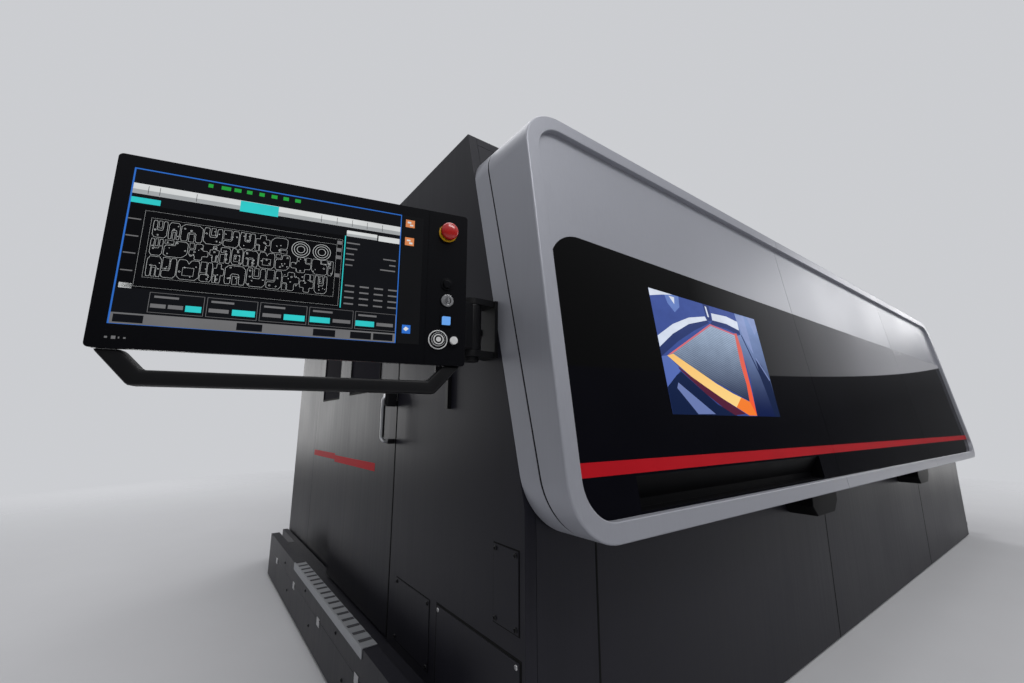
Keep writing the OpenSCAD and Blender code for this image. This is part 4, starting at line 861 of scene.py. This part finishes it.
class CUTTER_OT_display(bpy.types.Operator):
    """Lays the control screen on the console's display: bars, buttons and a nest of part outlines"""
    bl_idname = "cutter.display"
    bl_label = "Display"

    COLOURS = {"ui_dark": (0.0040, 0.0045, 0.0058), "ui_ash": (0.0045, 0.0047, 0.0050),
               "ui_grey": (0.16, 0.16, 0.165), "ui_silver": (0.40, 0.42, 0.43),
               "ui_white": (0.72, 0.74, 0.74), "ui_teal": (0.03, 0.60, 0.60),
               "ui_green": (0.02, 0.38, 0.05), "ui_blue": (0.03, 0.16, 0.60),
               "ui_black": (0.0007, 0.0007, 0.0010), "ui_line": (0.56, 0.58, 0.58),
               "ui_orange": (0.72, 0.25, 0.09)}
    # Sides of the button groups, and boxes of the bars and icons
    GROUPS = (116, 247, 377, 507, 638, 768)
    BARS = [(44, 150, 765, 206), (598, 226, 692, 262), (696, 230, 764, 264), (50, 676, 78, 702)]
    BAR_SHADES = [(44, 182, 299, 206), (400, 182, 765, 206), (598, 246, 692, 262)]
    ICON_SHAPES = [(788, 104, 800, 116), (796, 122, 807, 132), (788, 224, 800, 234), (796, 240, 807, 252)]
    LAMPS = [(40, 944, 46, 953), (54, 941, 63, 956), (68, 944, 71, 953), (79, 945, 84, 953)]
    # Height of the nest's lines above the glass, and what its random shapes are drawn from
    NEST, SEED = 0.9, 7

    def execute(self, context):
        for name, base in self.COLOURS.items():
            lit_finish(name, base)
        screen = Screen(CONSOLE_W, CONSOLE_H, console_matrix(), "console")
        lay = screen.fields
        lay("ui_edge", "ui_blue", 0.3, [(40, 66, 768, 882)])
        lay("ui_column", "ui_ash", 0.3, [(771, 66, 842, 882)])
        lay("ui_back", "ui_dark", 0.5, [(44, 73, 765, 880)])
        lay("ui_toolbar", "ui_white", 0.7, self.BARS)
        lay("ui_toolbar_shade", "ui_silver", 0.8, self.BAR_SHADES)
        lay("ui_drawing", "ui_black", 0.7, [(46, 262, 592, 700)])
        lay("ui_foot", "ui_grey", 0.7, [(44, 826, 765, 880)])
        plates = [frame_boxes(a + 3, 712, b - 3, 815, 1.2, 2) for a, b in zip(self.GROUPS, self.GROUPS[1:])]
        lay("ui_groups", "ui_grey", 0.7, sum(plates, []))
        keys = spans(834, 873, (50, 114), (327, 391), (525, 587), (630, 692), (698, 758))
        keys += [(u, 158, u + 1.2, 200) for u in (78, 104, 190, 520, 566, 612, 658, 706)]
        lay("ui_keys", "ui_dark", 0.9, keys)
        teal = [(299, 152, 400, 214), (44, 226, 110, 256), (593.5, 262, 596.5, 700)]
        teal += spans(766, 798, (202, 239), (312, 369), (443, 499), (513, 569), (643, 699))
        lay("ui_toggles", "ui_teal", 1.1, teal)
        lay("ui_status", "ui_green", 0.9, [(214 + i * 32.5, 86, 214 + i * 32.5 + w, 107)
                                           for i, w in enumerate((12, 24, 18, 14, 14, 16, 15, 16))])
        lay("ui_captions", "ui_grey", 1.1, self.captions())
        self.nest(screen)
        lay("ui_side_icons", "ui_orange", 0.5, [(782, 92, 812, 142), (782, 210, 812, 262)])
        lay("ui_side_shapes", "ui_white", 0.7, self.ICON_SHAPES)
        lay("ui_corner_icon", "ui_blue", 0.5, [(786, 768, 813, 820)])
        lay("ui_corner_shape", "ui_white", 0.7, [[(798, 778), (808, 790), (799, 806), (790, 794)]])
        lay("console_lamps", "ui_grey", 0.3, self.LAMPS)
        return {"FINISHED"}

    def captions(self):
        """Grey bars on the buttons, in the table, down the ruler and along the tools."""
        bars = spans(770, 790, (124, 158), (163, 197), (256, 304), (388, 436), (577, 628), (706, 757))
        bars += [(600, 300 + i * 34, 600 + w, 308 + i * 34) for i, w in enumerate((40, 33, 24, 26, 22))]
        bars += [(735 - w, 372 + i * 34, 755, 380 + i * 34) for i, w in enumerate((20, 0, 28))]
        bars += [(604 + k * 44, 560 + i * 36, 632 + k * 44, 569 + i * 36) for i in range(4) for k in range(4)]
        bars += [(45 + k, v, 74, v + 6) for k, v in enumerate((340, 430, 520, 610))]
        bars += [(130 + k * 130, 728, 185 + k * 130, 739) for k in range(5)]
        return bars + [(572, v, 586, v + 22) for v in (300, 345, 390, 500)]

    # Outlines of nested parts, as shares of their width and height, and the corner that each leaves free
    OUTLINES = (((0, 0), (1, 0), (1, 0.35), (0.42, 0.35), (0.42, 1), (0, 1)),
                ((0, 0), (1, 0), (1, 1), (0.7, 1), (0.7, 0.45), (0.3, 0.45), (0.3, 1), (0, 1)),
                ((0.3, 0), (0.7, 0), (0.7, 0.4), (1, 0.4), (1, 0.75), (0.7, 0.75), (0.7, 1), (0.3, 1),
                 (0.3, 0.75), (0, 0.75), (0, 0.4), (0.3, 0.4)),
                ((0, 0), (1, 0), (1, 1), (0.62, 1), (0.5, 0.78), (0.38, 1), (0, 1)),
                ((0, 0), (0.75, 0), (1, 0.25), (1, 1), (0.45, 1), (0.45, 0.7), (0, 0.7)))
    FREE = ((0.52, 0.45, 1, 1), (0.38, 0.56, 0.62, 1), (0.76, 0, 1, 0.33), (0.25, 0.2, 0.75, 0.6),
            (0, 0.76, 0.38, 1))
    # Share of a side that a corner's cut takes
    CUT = 0.16

    def nest(self, screen):
        """Outlines of nested sheet metal parts, with their holes, and two ringed discs."""
        draw = random.Random(self.SEED)
        obj = screen.start("ui_nest")
        borders = frame_boxes(80, 290, 588, 690, 0.4, 0.7) + frame_boxes(96, 325, 572, 640, 0.4, 0.7)
        screen.lay(obj, borders, self.NEST)
        for top, foot, end in ((335, 425, 440), (432, 520, 566), (527, 630, 566)):
            u = 102
            while u < end - 12:
                wide = min(draw.uniform(22, 56), end - u)
                self.part(obj, draw, screen.point(u, foot), screen.point(u + wide, top))
                u += wide + 3
        for u in (471, 530):
            for radius in (0.0170, 0.0125, 0.0075):
                self.stroke(obj, circle(*screen.point(u, 385), radius, 28), 0.0009)
        screen.done(obj, "ui_nest", "ui_line")

    def part(self, obj, draw, low, high):
        """One nested part in its rectangle: an outline with cut corners, a smaller part beside it, holes."""
        wide, tall = high[0] - low[0], high[1] - low[1]
        kind = draw.randrange(len(self.OUTLINES))
        across, upright_way = draw.random() < 0.5, draw.random() < 0.5

        def at(fx, fy):
            """A place in the part's rectangle, mirrored as this part is."""
            return (low[0] + wide * (fx if across else 1 - fx),
                    low[1] + tall * (fy if upright_way else 1 - fy))

        corners = [at(*c) for c in self.OUTLINES[kind]]
        cut = []
        for before, corner, after in zip(corners[-1:] + corners, corners, corners[1:] + corners[:1]):
            cut += [between(corner, before, self.CUT), between(corner, after, self.CUT)]
        self.stroke(obj, cut, 0.0005)
        x0, y0, x1, y1 = self.FREE[kind]
        self.stroke(obj, [at(x0, y0), at(x1, y0), at(x1, y1), at(x0, y1)], 0.0004)
        for _ in range(draw.randint(3, 6)):
            x, y = at(draw.uniform(0.10, 0.90), draw.uniform(0.10, 0.90))
            self.stroke(obj, circle(x, y, draw.uniform(0.0007, 0.0018), 8), 0.0005)

    def stroke(self, obj, corners, width):
        """A closed line of one width."""
        add_field(obj, corners, self.NEST)
        bpy.ops.mesh.inset(thickness=width)
        bpy.ops.mesh.delete(type="FACE")


# Console controls

def on_face(node):
    """A matrix at a control's foot on the console's face, with Z out of the face."""
    face = console_matrix()
    lo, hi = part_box(node)
    middle = face.inverted() @ ((lo + hi) / 2)
    return face @ Matrix.Translation((middle.x, middle.y, 0.0))


def turned_ring(outer, inner, height, base=0.0, edge=0.0005):
    """A flat ring about Z with rounded edges."""
    obj = primitive("cylinder", vertices=48, radius=outer, depth=height, location=(0, 0, base + height / 2))
    settle(obj)
    edit_mesh(obj)
    pick(obj, faces=lambda f: abs(f.normal.z) > 0.9)
    bpy.ops.mesh.inset(thickness=outer - inner, use_individual=True)
    bpy.ops.mesh.bridge_edge_loops()
    leave_edit()
    round_edges(obj, edge, 2, 50)
    smooth(obj, 40)
    return obj


class CUTTER_OT_controls(bpy.types.Operator):
    """Adds the emergency stop's collar, the start button's rings and the rims round the controls"""
    bl_idname = "cutter.controls"
    bl_label = "Controls"

    # Outer radius, inner radius and height of a ring
    COLLAR = (0.0212, 0.0145, 0.0030)
    START_RIM = (0.0215, 0.0192, 0.0036)
    START_RINGS = (("start_ring_outer", (0.0142, 0.0118, 0.0006)),
                   ("start_ring_inner", (0.0086, 0.0058, 0.0006)))
    RIMS = (("dark_button", "dark_bezel", "console_black", (0.0140, 0.0098, 0.0034)),
            ("key_switch", "key_bezel", "machined_steel", (0.0140, 0.0085, 0.0034)),
            ("white_button", "white_bezel", "console_black", (0.0140, 0.0098, 0.0034)))
    # How deep the start button's rings sit in its top, and the radius of their edges
    SUNK, RING_EDGE = 0.0002, 0.0001

    def execute(self, context):
        mount(turned_ring(*self.COLLAR), on_face("estop"),
              "stop_collar", "console", "signal_red", "signal_yellow")
        face = on_face("start_button")
        top = max((face.inverted() @ v.co).z for v in frame["nodes"]["start_button"].data.vertices)
        for name, sizes in self.START_RINGS:
            ring = turned_ring(*sizes, top - self.SUNK, self.RING_EDGE)
            mount(ring, face, name, "start_key", "console_black")
        mount(turned_ring(*self.START_RIM), face, "start_bezel", "console", "button_white")
        for node, name, slot, sizes in self.RIMS:
            mount(turned_ring(*sizes), on_face(node), name, "console", slot)
        return {"FINISHED"}


# Small pieces on the cabin

def screw_head(radius):
    """A button head screw with a socket, its foot at the origin and its head along Z."""
    height = radius * 0.55
    obj = primitive("cylinder", vertices=20, radius=radius, depth=height, location=(0, 0, height / 2))
    settle(obj)
    edit_mesh(obj)
    pick(obj, edges=lambda e: all(v.co.z > height * 0.9 for v in e.verts))
    bpy.ops.mesh.bevel(offset=radius * 0.32, segments=3, affect="EDGES")
    pick(obj, faces=lambda f: f.normal.z > 0.95)
    bpy.ops.mesh.inset(thickness=radius * 0.16)
    extrude(0, 0, -height * 0.55)
    leave_edit()
    smooth(obj, 40)
    return obj


def strew(model, matrices):
    """Copies of one modelled piece, each with its own mesh, joined into one."""
    copies = [linked(model.name, model.data.copy()) for _ in matrices]
    for obj, matrix in zip(copies, matrices):
        obj.data.transform(matrix)
    bpy.data.objects.remove(model)
    return join(copies)


def outward(point, direction):
    """A matrix at a point whose Z looks along a direction."""
    return Matrix.Translation(point) @ Vector(direction).to_track_quat("Z", "Y").to_matrix().to_4x4()


def shells(node):
    """Lowest and highest corner of each separate piece of a part, from left to right."""
    mesh = bmesh.new()
    mesh.from_mesh(frame["nodes"][node].data)
    bmesh.ops.remove_doubles(mesh, verts=mesh.verts, dist=SAME_PLACE)
    left, boxes = set(mesh.verts), []
    while left:
        shell, edge = set(), [left.pop()]
        while edge:
            vert = edge.pop()
            shell.add(vert)
            near = [e.other_vert(vert) for e in vert.link_edges]
            edge += [v for v in near if v not in shell]
        left -= shell
        boxes.append([Vector([end(v.co[i] for v in shell) for i in range(3)]) for end in (min, max)])
    mesh.free()
    return sorted(boxes, key=lambda box: tuple(box[0]))


# The way that the left end's faces look
LEFT = (-1, 0, 0)


class CUTTER_OT_fixings(bpy.types.Operator):
    """Adds the screws of the covers, the step and the back wall"""
    bl_idname = "cutter.fixings"
    bl_label = "Fixings"

    # Distance of a cover's screws from its edges
    INSET = 0.012
    # Rows of the step's screws: how many, where the first one is, and how high; and the distance between them
    STEP_ROWS = ((4, 0.698, 0.232), (3, 0.574, 0.103))
    STEP_PITCH = 0.602
    # Bays of the back wall, with their screws' distance from each side, and heights
    BAYS, BAY_START, BAY_END = 4, 0.07, 0.05
    BACK_ROWS = (0.10, 0.80, 1.50, 2.16)

    def execute(self, context):
        radius = context.scene.cutter_sizes.screw
        spots = {"machined_steel": [], "black_metal": []}
        for lo, hi in shells("service_covers"):
            finish = "machined_steel" if hi.y - lo.y > LARGE_COVER else "black_metal"
            spots[finish] += [outward((lo.x, y, z), LEFT) for y in (lo.y + self.INSET, hi.y - self.INSET)
                              for z in (lo.z + self.INSET, hi.z - self.INSET)]
        for finish, places in spots.items():
            hand_over(strew(screw_head(radius), places), "cover_screws_" + finish, "machine", finish)
        places = [outward((STEP_X, first - i * self.STEP_PITCH, height), LEFT)
                  for count, first, height in self.STEP_ROWS for i in range(count)]
        hand_over(strew(screw_head(radius), places), "step_screws", "machine", "black_metal")
        lo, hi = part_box("roof")
        bay = (hi.x - lo.x) / self.BAYS
        places = [outward((lo.x + bay * i + u, hi.y, z), (0, 1, 0)) for i in range(self.BAYS)
                  for u in (self.BAY_START, bay - self.BAY_END) for z in self.BACK_ROWS]
        hand_over(strew(screw_head(radius), places), "back_screws", "machine", "machined_steel")
        return {"FINISHED"}


class CUTTER_OT_trim(bpy.types.Operator):
    """Adds the gaskets, seams, red tape, the step's clips and strips, the latch body and the console's nub"""
    bl_idname = "cutter.trim"
    bl_label = "Trim"

    # Heights of the red tape's edges, its ends on the door and the rear panel, and the radius of its edges
    TAPE_LO, TAPE_HI = 0.884, 0.924
    TAPE_START, TAPE_END = -0.3935, 1.131
    TAPE_EDGE = 0.0002
    # How far a window's pane reaches past the inner edge of its gasket
    LAP = 0.016
    # Middles of the step's clips, half their length, and their heights
    CLIPS, CLIP_HALF = (0.985, 0.388, -0.212, -0.806), 0.024
    CLIP_LO, CLIP_HI = 0.160, 0.196
    # Ribs of the step's tread, and the shares of their pitch at which a groove's strip starts and ends
    RIBS, GROOVE_FROM, GROOVE_TO = 17, 0.70, 0.98
    # Width of the dark seam round a cover, and of the wider ones
    SEAM, WIDE_SEAM = 0.0035, 0.008
    # How far the latch body stands out from the door, half its width, and the boss under its lock
    LATCH_OUT, LATCH_HALF, BOSS = 0.050, 0.0185, 0.004

    def gasket(self, x, lo, hi, width, depth, lap=0.0):
        """A rounded rubber frame round a window or cover, on a face that looks to the left."""
        y0, y1, z0, z1 = lo.y + lap, hi.y - lap, lo.z + lap, hi.z - lap
        obj = primitive("plane", size=1.0, location=(x, (y0 + y1) / 2, (z0 + z1) / 2),
                        rotation=(0, -math.pi / 2, 0))
        obj.scale = (z1 - z0 + 2 * width, y1 - y0 + 2 * width, 1.0)
        settle(obj)
        edit_mesh(obj)
        bpy.ops.mesh.select_all(action="SELECT")
        bpy.ops.mesh.inset(thickness=width)
        bpy.ops.mesh.delete(type="FACE")
        bpy.ops.mesh.select_all(action="SELECT")
        extrude(-depth, 0, 0)
        bpy.ops.mesh.select_all(action="SELECT")
        bpy.ops.mesh.normals_make_consistent(inside=False)
        leave_edit()
        round_edges(obj, depth * 0.4)
        smooth(obj)
        return obj

    def tape(self, name, body, x, start, end, thick):
        """A run of red tape on a face that looks to the left."""
        strip = block((x - thick, start, self.TAPE_LO), (x, end, self.TAPE_HI), self.TAPE_EDGE)
        hand_over(strip, name, body, "red_stripe")

    def execute(self, context):
        sizes = context.scene.cutter_sizes
        pane = self.gasket(XL, *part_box("door_window"), sizes.gasket, 0.004, self.LAP)
        hand_over(pane, "door_gasket", "sliding_door", "rubber_black")
        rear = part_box("rear_window")
        rear_x = rear[0].x - 0.003
        pane = self.gasket(rear_x, *rear, sizes.gasket, 0.003, self.LAP)
        hand_over(pane, "rear_gasket", "machine", "rubber_black")
        self.tape("door_tape", "sliding_door", XL, self.TAPE_START, DOOR_HI.y - 0.001, sizes.tape)
        self.tape("rear_tape", "machine", rear_x, DOOR_HI.y, self.TAPE_END, sizes.tape)
        clips = [block((STEP_X - 0.003, y - self.CLIP_HALF, self.CLIP_LO),
                       (STEP_X, y + self.CLIP_HALF, self.CLIP_HI), 0.001) for y in self.CLIPS]
        hand_over(join(clips), "step_clips", "machine", "machined_steel")
        self.seams()
        self.latch()
        self.groove_shade()
        corner = Matrix.Translation((0.42 * CONSOLE_W, -CONSOLE_H / 2, -0.020))
        mount(turned_ring(0.009, 0.004, 0.016, -0.016, 0.002),
              console_matrix() @ corner @ Matrix.Rotation(-math.pi / 2, 4, "X"),
              "console_nub", "console", "console_black")
        return {"FINISHED"}

    def seams(self):
        """Dark seams round the covers and between the skirt's sections, and the door's rubber lip."""
        frames = [self.gasket(XL, lo, hi, self.WIDE_SEAM if hi.y - lo.y > LARGE_COVER else self.SEAM, 0.0008)
                  for lo, hi in shells("service_covers")]
        hand_over(join(frames), "cover_seams", "machine", "rubber_black")
        sections = shells("front_skirt")
        half = self.WIDE_SEAM / 2
        strips = []
        for (_, before), (after, _) in zip(sections, sections[1:]):
            x = (before.x + after.x) / 2
            strips.append(block((x - half, after.y - 0.0006, after.z),
                                (x + half, after.y + 0.002, before.z), 0.0002))
        hand_over(join(strips), "skirt_seams", "machine", "rubber_black")
        lip = block((XL - 0.001, DOOR_LO.y, DOOR_LO.z + 0.002),
                    (XL + 0.002, DOOR_LO.y + self.WIDE_SEAM, DOOR_HI.z - 0.002), 0.0004)
        hand_over(lip, "door_lip", "sliding_door", "rubber_black")

    def latch(self):
        """Black latch body, grip sleeve and foot of the pull handle, with its lock."""
        lo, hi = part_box("door_handle")
        y, low, top = (lo.y + hi.y) / 2, lo.z, hi.z
        front, half = XL - self.LATCH_OUT, self.LATCH_HALF
        body = block((front, y - half, top - 0.072), (XL, y + half, top + 0.003), 0.007, 3)
        edit_mesh(body)
        pick(body, faces=lambda f: f.normal.x < -0.95)
        bpy.ops.mesh.inset(thickness=0.006)
        extrude(-self.BOSS, 0, 0)
        leave_edit()
        smooth(body)
        sleeve = block((lo.x + 0.007, y - 0.0085, low + 0.026),
                       (lo.x + 0.019, y + 0.0085, top - 0.066), 0.004, 3)
        foot = block((XL - 0.034, y - 0.013, low - 0.004), (XL, y + 0.013, low + 0.018), 0.005, 3)
        hand_over(join([body, sleeve, foot]), "latch_body", "sliding_door", "black_metal")
        mount(turned_ring(0.0115, 0.0045, 0.004), outward((front - self.BOSS, y, top - 0.026), LEFT),
              "latch_lock", "sliding_door", "machined_steel")

    def groove_shade(self):
        """Dark strips in the grooves of the step's tread: painted shade between its ribs."""
        lo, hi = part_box("step_tread")
        pitch = (hi.y - lo.y) / self.RIBS
        strips = [block((lo.x + 0.006, lo.y + (i + self.GROOVE_FROM) * pitch, hi.z - 0.0021),
                        (hi.x - 0.003, lo.y + (i + self.GROOVE_TO) * pitch, hi.z - 0.0006), 0.0005)
                  for i in range(self.RIBS)]
        hand_over(join(strips), "tread_inserts", "machine", "rubber_black", "tread_groove")


class CUTTER_OT_stage(bpy.types.Operator):
    """Sets the floor, the lights and the camera"""
    bl_idname = "cutter.stage"
    bl_label = "Stage"

    # Place, aim, width and height, power in watts, and turn about the lamp's own axis in degrees
    LAMPS = (("key_light", (-2.0, -6.0, 7.0), (0.0, -1.5, 1.2), (5.0, 2.5), 220.0, 0.0),
             ("right_light", (9.5, -3.4, 4.85), (0.8, -1.6, 1.9), (0.9, 3.8), 110.0, 37.0),
             ("left_light", (-5.2, 9.0, 1.9), (-2.9, 1.2, 1.2), (3.0, 3.0), 85.0, 0.0),
             ("top_light", (-1.6, 1.0, 7.5), (-0.6, 0.0, 1.0), (7.0, 5.0), 190.0, 0.0),
             ("back_light", (6.5, 8.0, 5.0), (0.8, 1.2, 1.2), (5.0, 3.0), 260.0, 0.0),
             ("cabin_light", (-0.2, 0.2, 2.14), (-0.2, 0.2, 0.5), (4.8, 0.5), 22.0, 0.0),
             ("low_light", (8.8, -3.4, 0.40), (2.4, -1.6, 0.5), (3.4, 0.6), 16.0, 0.0))
    # Where the floor begins to melt into the surroundings, and where it is gone
    FLOOR_FADE = (4.2, 10.0)

    def execute(self, context):
        stage = context.scene.cutter_stage
        self.floor(stage)
        self.surroundings(stage)
        for lamp in self.LAMPS:
            self.lamp(*lamp)
        eye = bpy.data.cameras.new("eye")
        eye.lens = stage.lens
        eye.sensor_width = 36.0
        eye.clip_end = 200.0
        camera = linked("eye", eye)
        camera.location = stage.eye
        camera.rotation_euler = (math.pi / 2 + stage.pitch, 0.0, -stage.yaw)
        context.scene.camera = camera
        context.scene.view_settings.view_transform = "Standard"
        return {"FINISHED"}

    def floor(self, stage):
        """A pale floor that melts into the surroundings far away."""
        floor = primitive("circle", vertices=64, radius=60.0, fill_type="NGON", location=(0, 0, -0.0005))
        floor.name = "floor"
        material = bpy.data.materials.new("floor")
        tree = bare_tree(material)
        where = object_place(tree)
        reach = put(tree, "VectorMath", {0: where}, operation="LENGTH").outputs["Value"]
        patches = noise(tree, where, 2.0, 6.0)
        tint = blend(tree, patches, shade_of(stage.floor, 0.97), shade_of(stage.floor, 1.03))
        matt = put(tree, "BsdfDiffuse", {"Color": tint}).outputs[0]
        clear = put(tree, "BsdfTransparent").outputs[0]
        mix = put(tree, "MixShader", {0: spread(tree, reach, 0.0, 1.0, *self.FLOOR_FADE), 1: matt, 2: clear})
        put(tree, "OutputMaterial", {"Surface": mix.outputs[0]})
        floor.data.materials.append(material)

    def surroundings(self, stage):
        """A plain pale room: as written where it is seen, softer as a light, dimmer low down in mirrors."""
        world = bpy.data.worlds.new("surroundings")
        tree = bare_tree(world)
        path = put(tree, "LightPath").outputs
        mirrored = spread(tree, parted(tree, object_place(tree))["Z"], 0.13, 0.9, 0.10, 0.65)
        unseen = spread(tree, path["Is Glossy Ray"], stage.ambient, mirrored)
        seen = math_node(tree, "MAXIMUM", path["Is Camera Ray"], path["Is Transmission Ray"])
        strength = spread(tree, seen, unseen, 1.0)
        sky = put(tree, "Background", {"Color": (*stage.backdrop, 1.0), "Strength": strength})
        put(tree, "OutputWorld", {"Surface": sky.outputs[0]})
        bpy.context.scene.world = world

    def lamp(self, name, spot, aim, shape, power, roll):
        """A soft rectangular lamp that looks at a point, turned about its own axis."""
        light = bpy.data.lights.new(name, "AREA")
        light.shape = "RECTANGLE"
        light.size, light.size_y = shape
        light.energy = power
        obj = linked(name, light)
        obj.location = spot
        look = (Vector(aim) - Vector(spot)).to_track_quat("-Z", "Y").to_matrix()
        obj.rotation_euler = (look @ Matrix.Rotation(math.radians(roll), 3, "Z")).to_euler()
        obj.visible_camera = False


class CUTTER_PT_panel(bpy.types.Panel):
    """Shows the build steps and the colours, sizes and stage settings in the 3D view's sidebar"""
    bl_idname = "CUTTER_PT_panel"
    bl_label = "Laser cutter"
    bl_space_type = "VIEW_3D"
    bl_region_type = "UI"
    bl_category = "Laser cutter"

    def draw(self, context):
        for operator in STEPS:
            self.layout.operator(operator.bl_idname)
        for group in (context.scene.cutter_colours, context.scene.cutter_sizes, context.scene.cutter_stage):
            box = self.layout.box()
            for key in group.__annotations__:
                box.prop(group, key)


GROUPS = (("cutter_colours", CutterColours), ("cutter_sizes", CutterSizes), ("cutter_stage", CutterStage))
STEPS = (CUTTER_OT_finishes, CUTTER_OT_ring, CUTTER_OT_panels, CUTTER_OT_monitor, CUTTER_OT_display,
         CUTTER_OT_controls, CUTTER_OT_fixings, CUTTER_OT_trim, CUTTER_OT_stage)


def register():
    """Registers the property groups, the operators and the panel."""
    for key, group in GROUPS:
        bpy.utils.register_class(group)
        setattr(bpy.types.Scene, key, PointerProperty(type=group))
    for operator in STEPS:
        bpy.utils.register_class(operator)
    bpy.utils.register_class(CUTTER_PT_panel)


def unregister():
    """Takes the classes out again."""
    bpy.utils.unregister_class(CUTTER_PT_panel)
    for operator in reversed(STEPS):
        bpy.utils.unregister_class(operator)
    for key, group in reversed(GROUPS):
        delattr(bpy.types.Scene, key)
        bpy.utils.unregister_class(group)


def main():
    """Builds the machine's looks in order."""
    register()
    for operator in STEPS:
        area, name = operator.bl_idname.split(".")
        getattr(getattr(bpy.ops, area), name)()


if __name__ == "__main__":
    main()
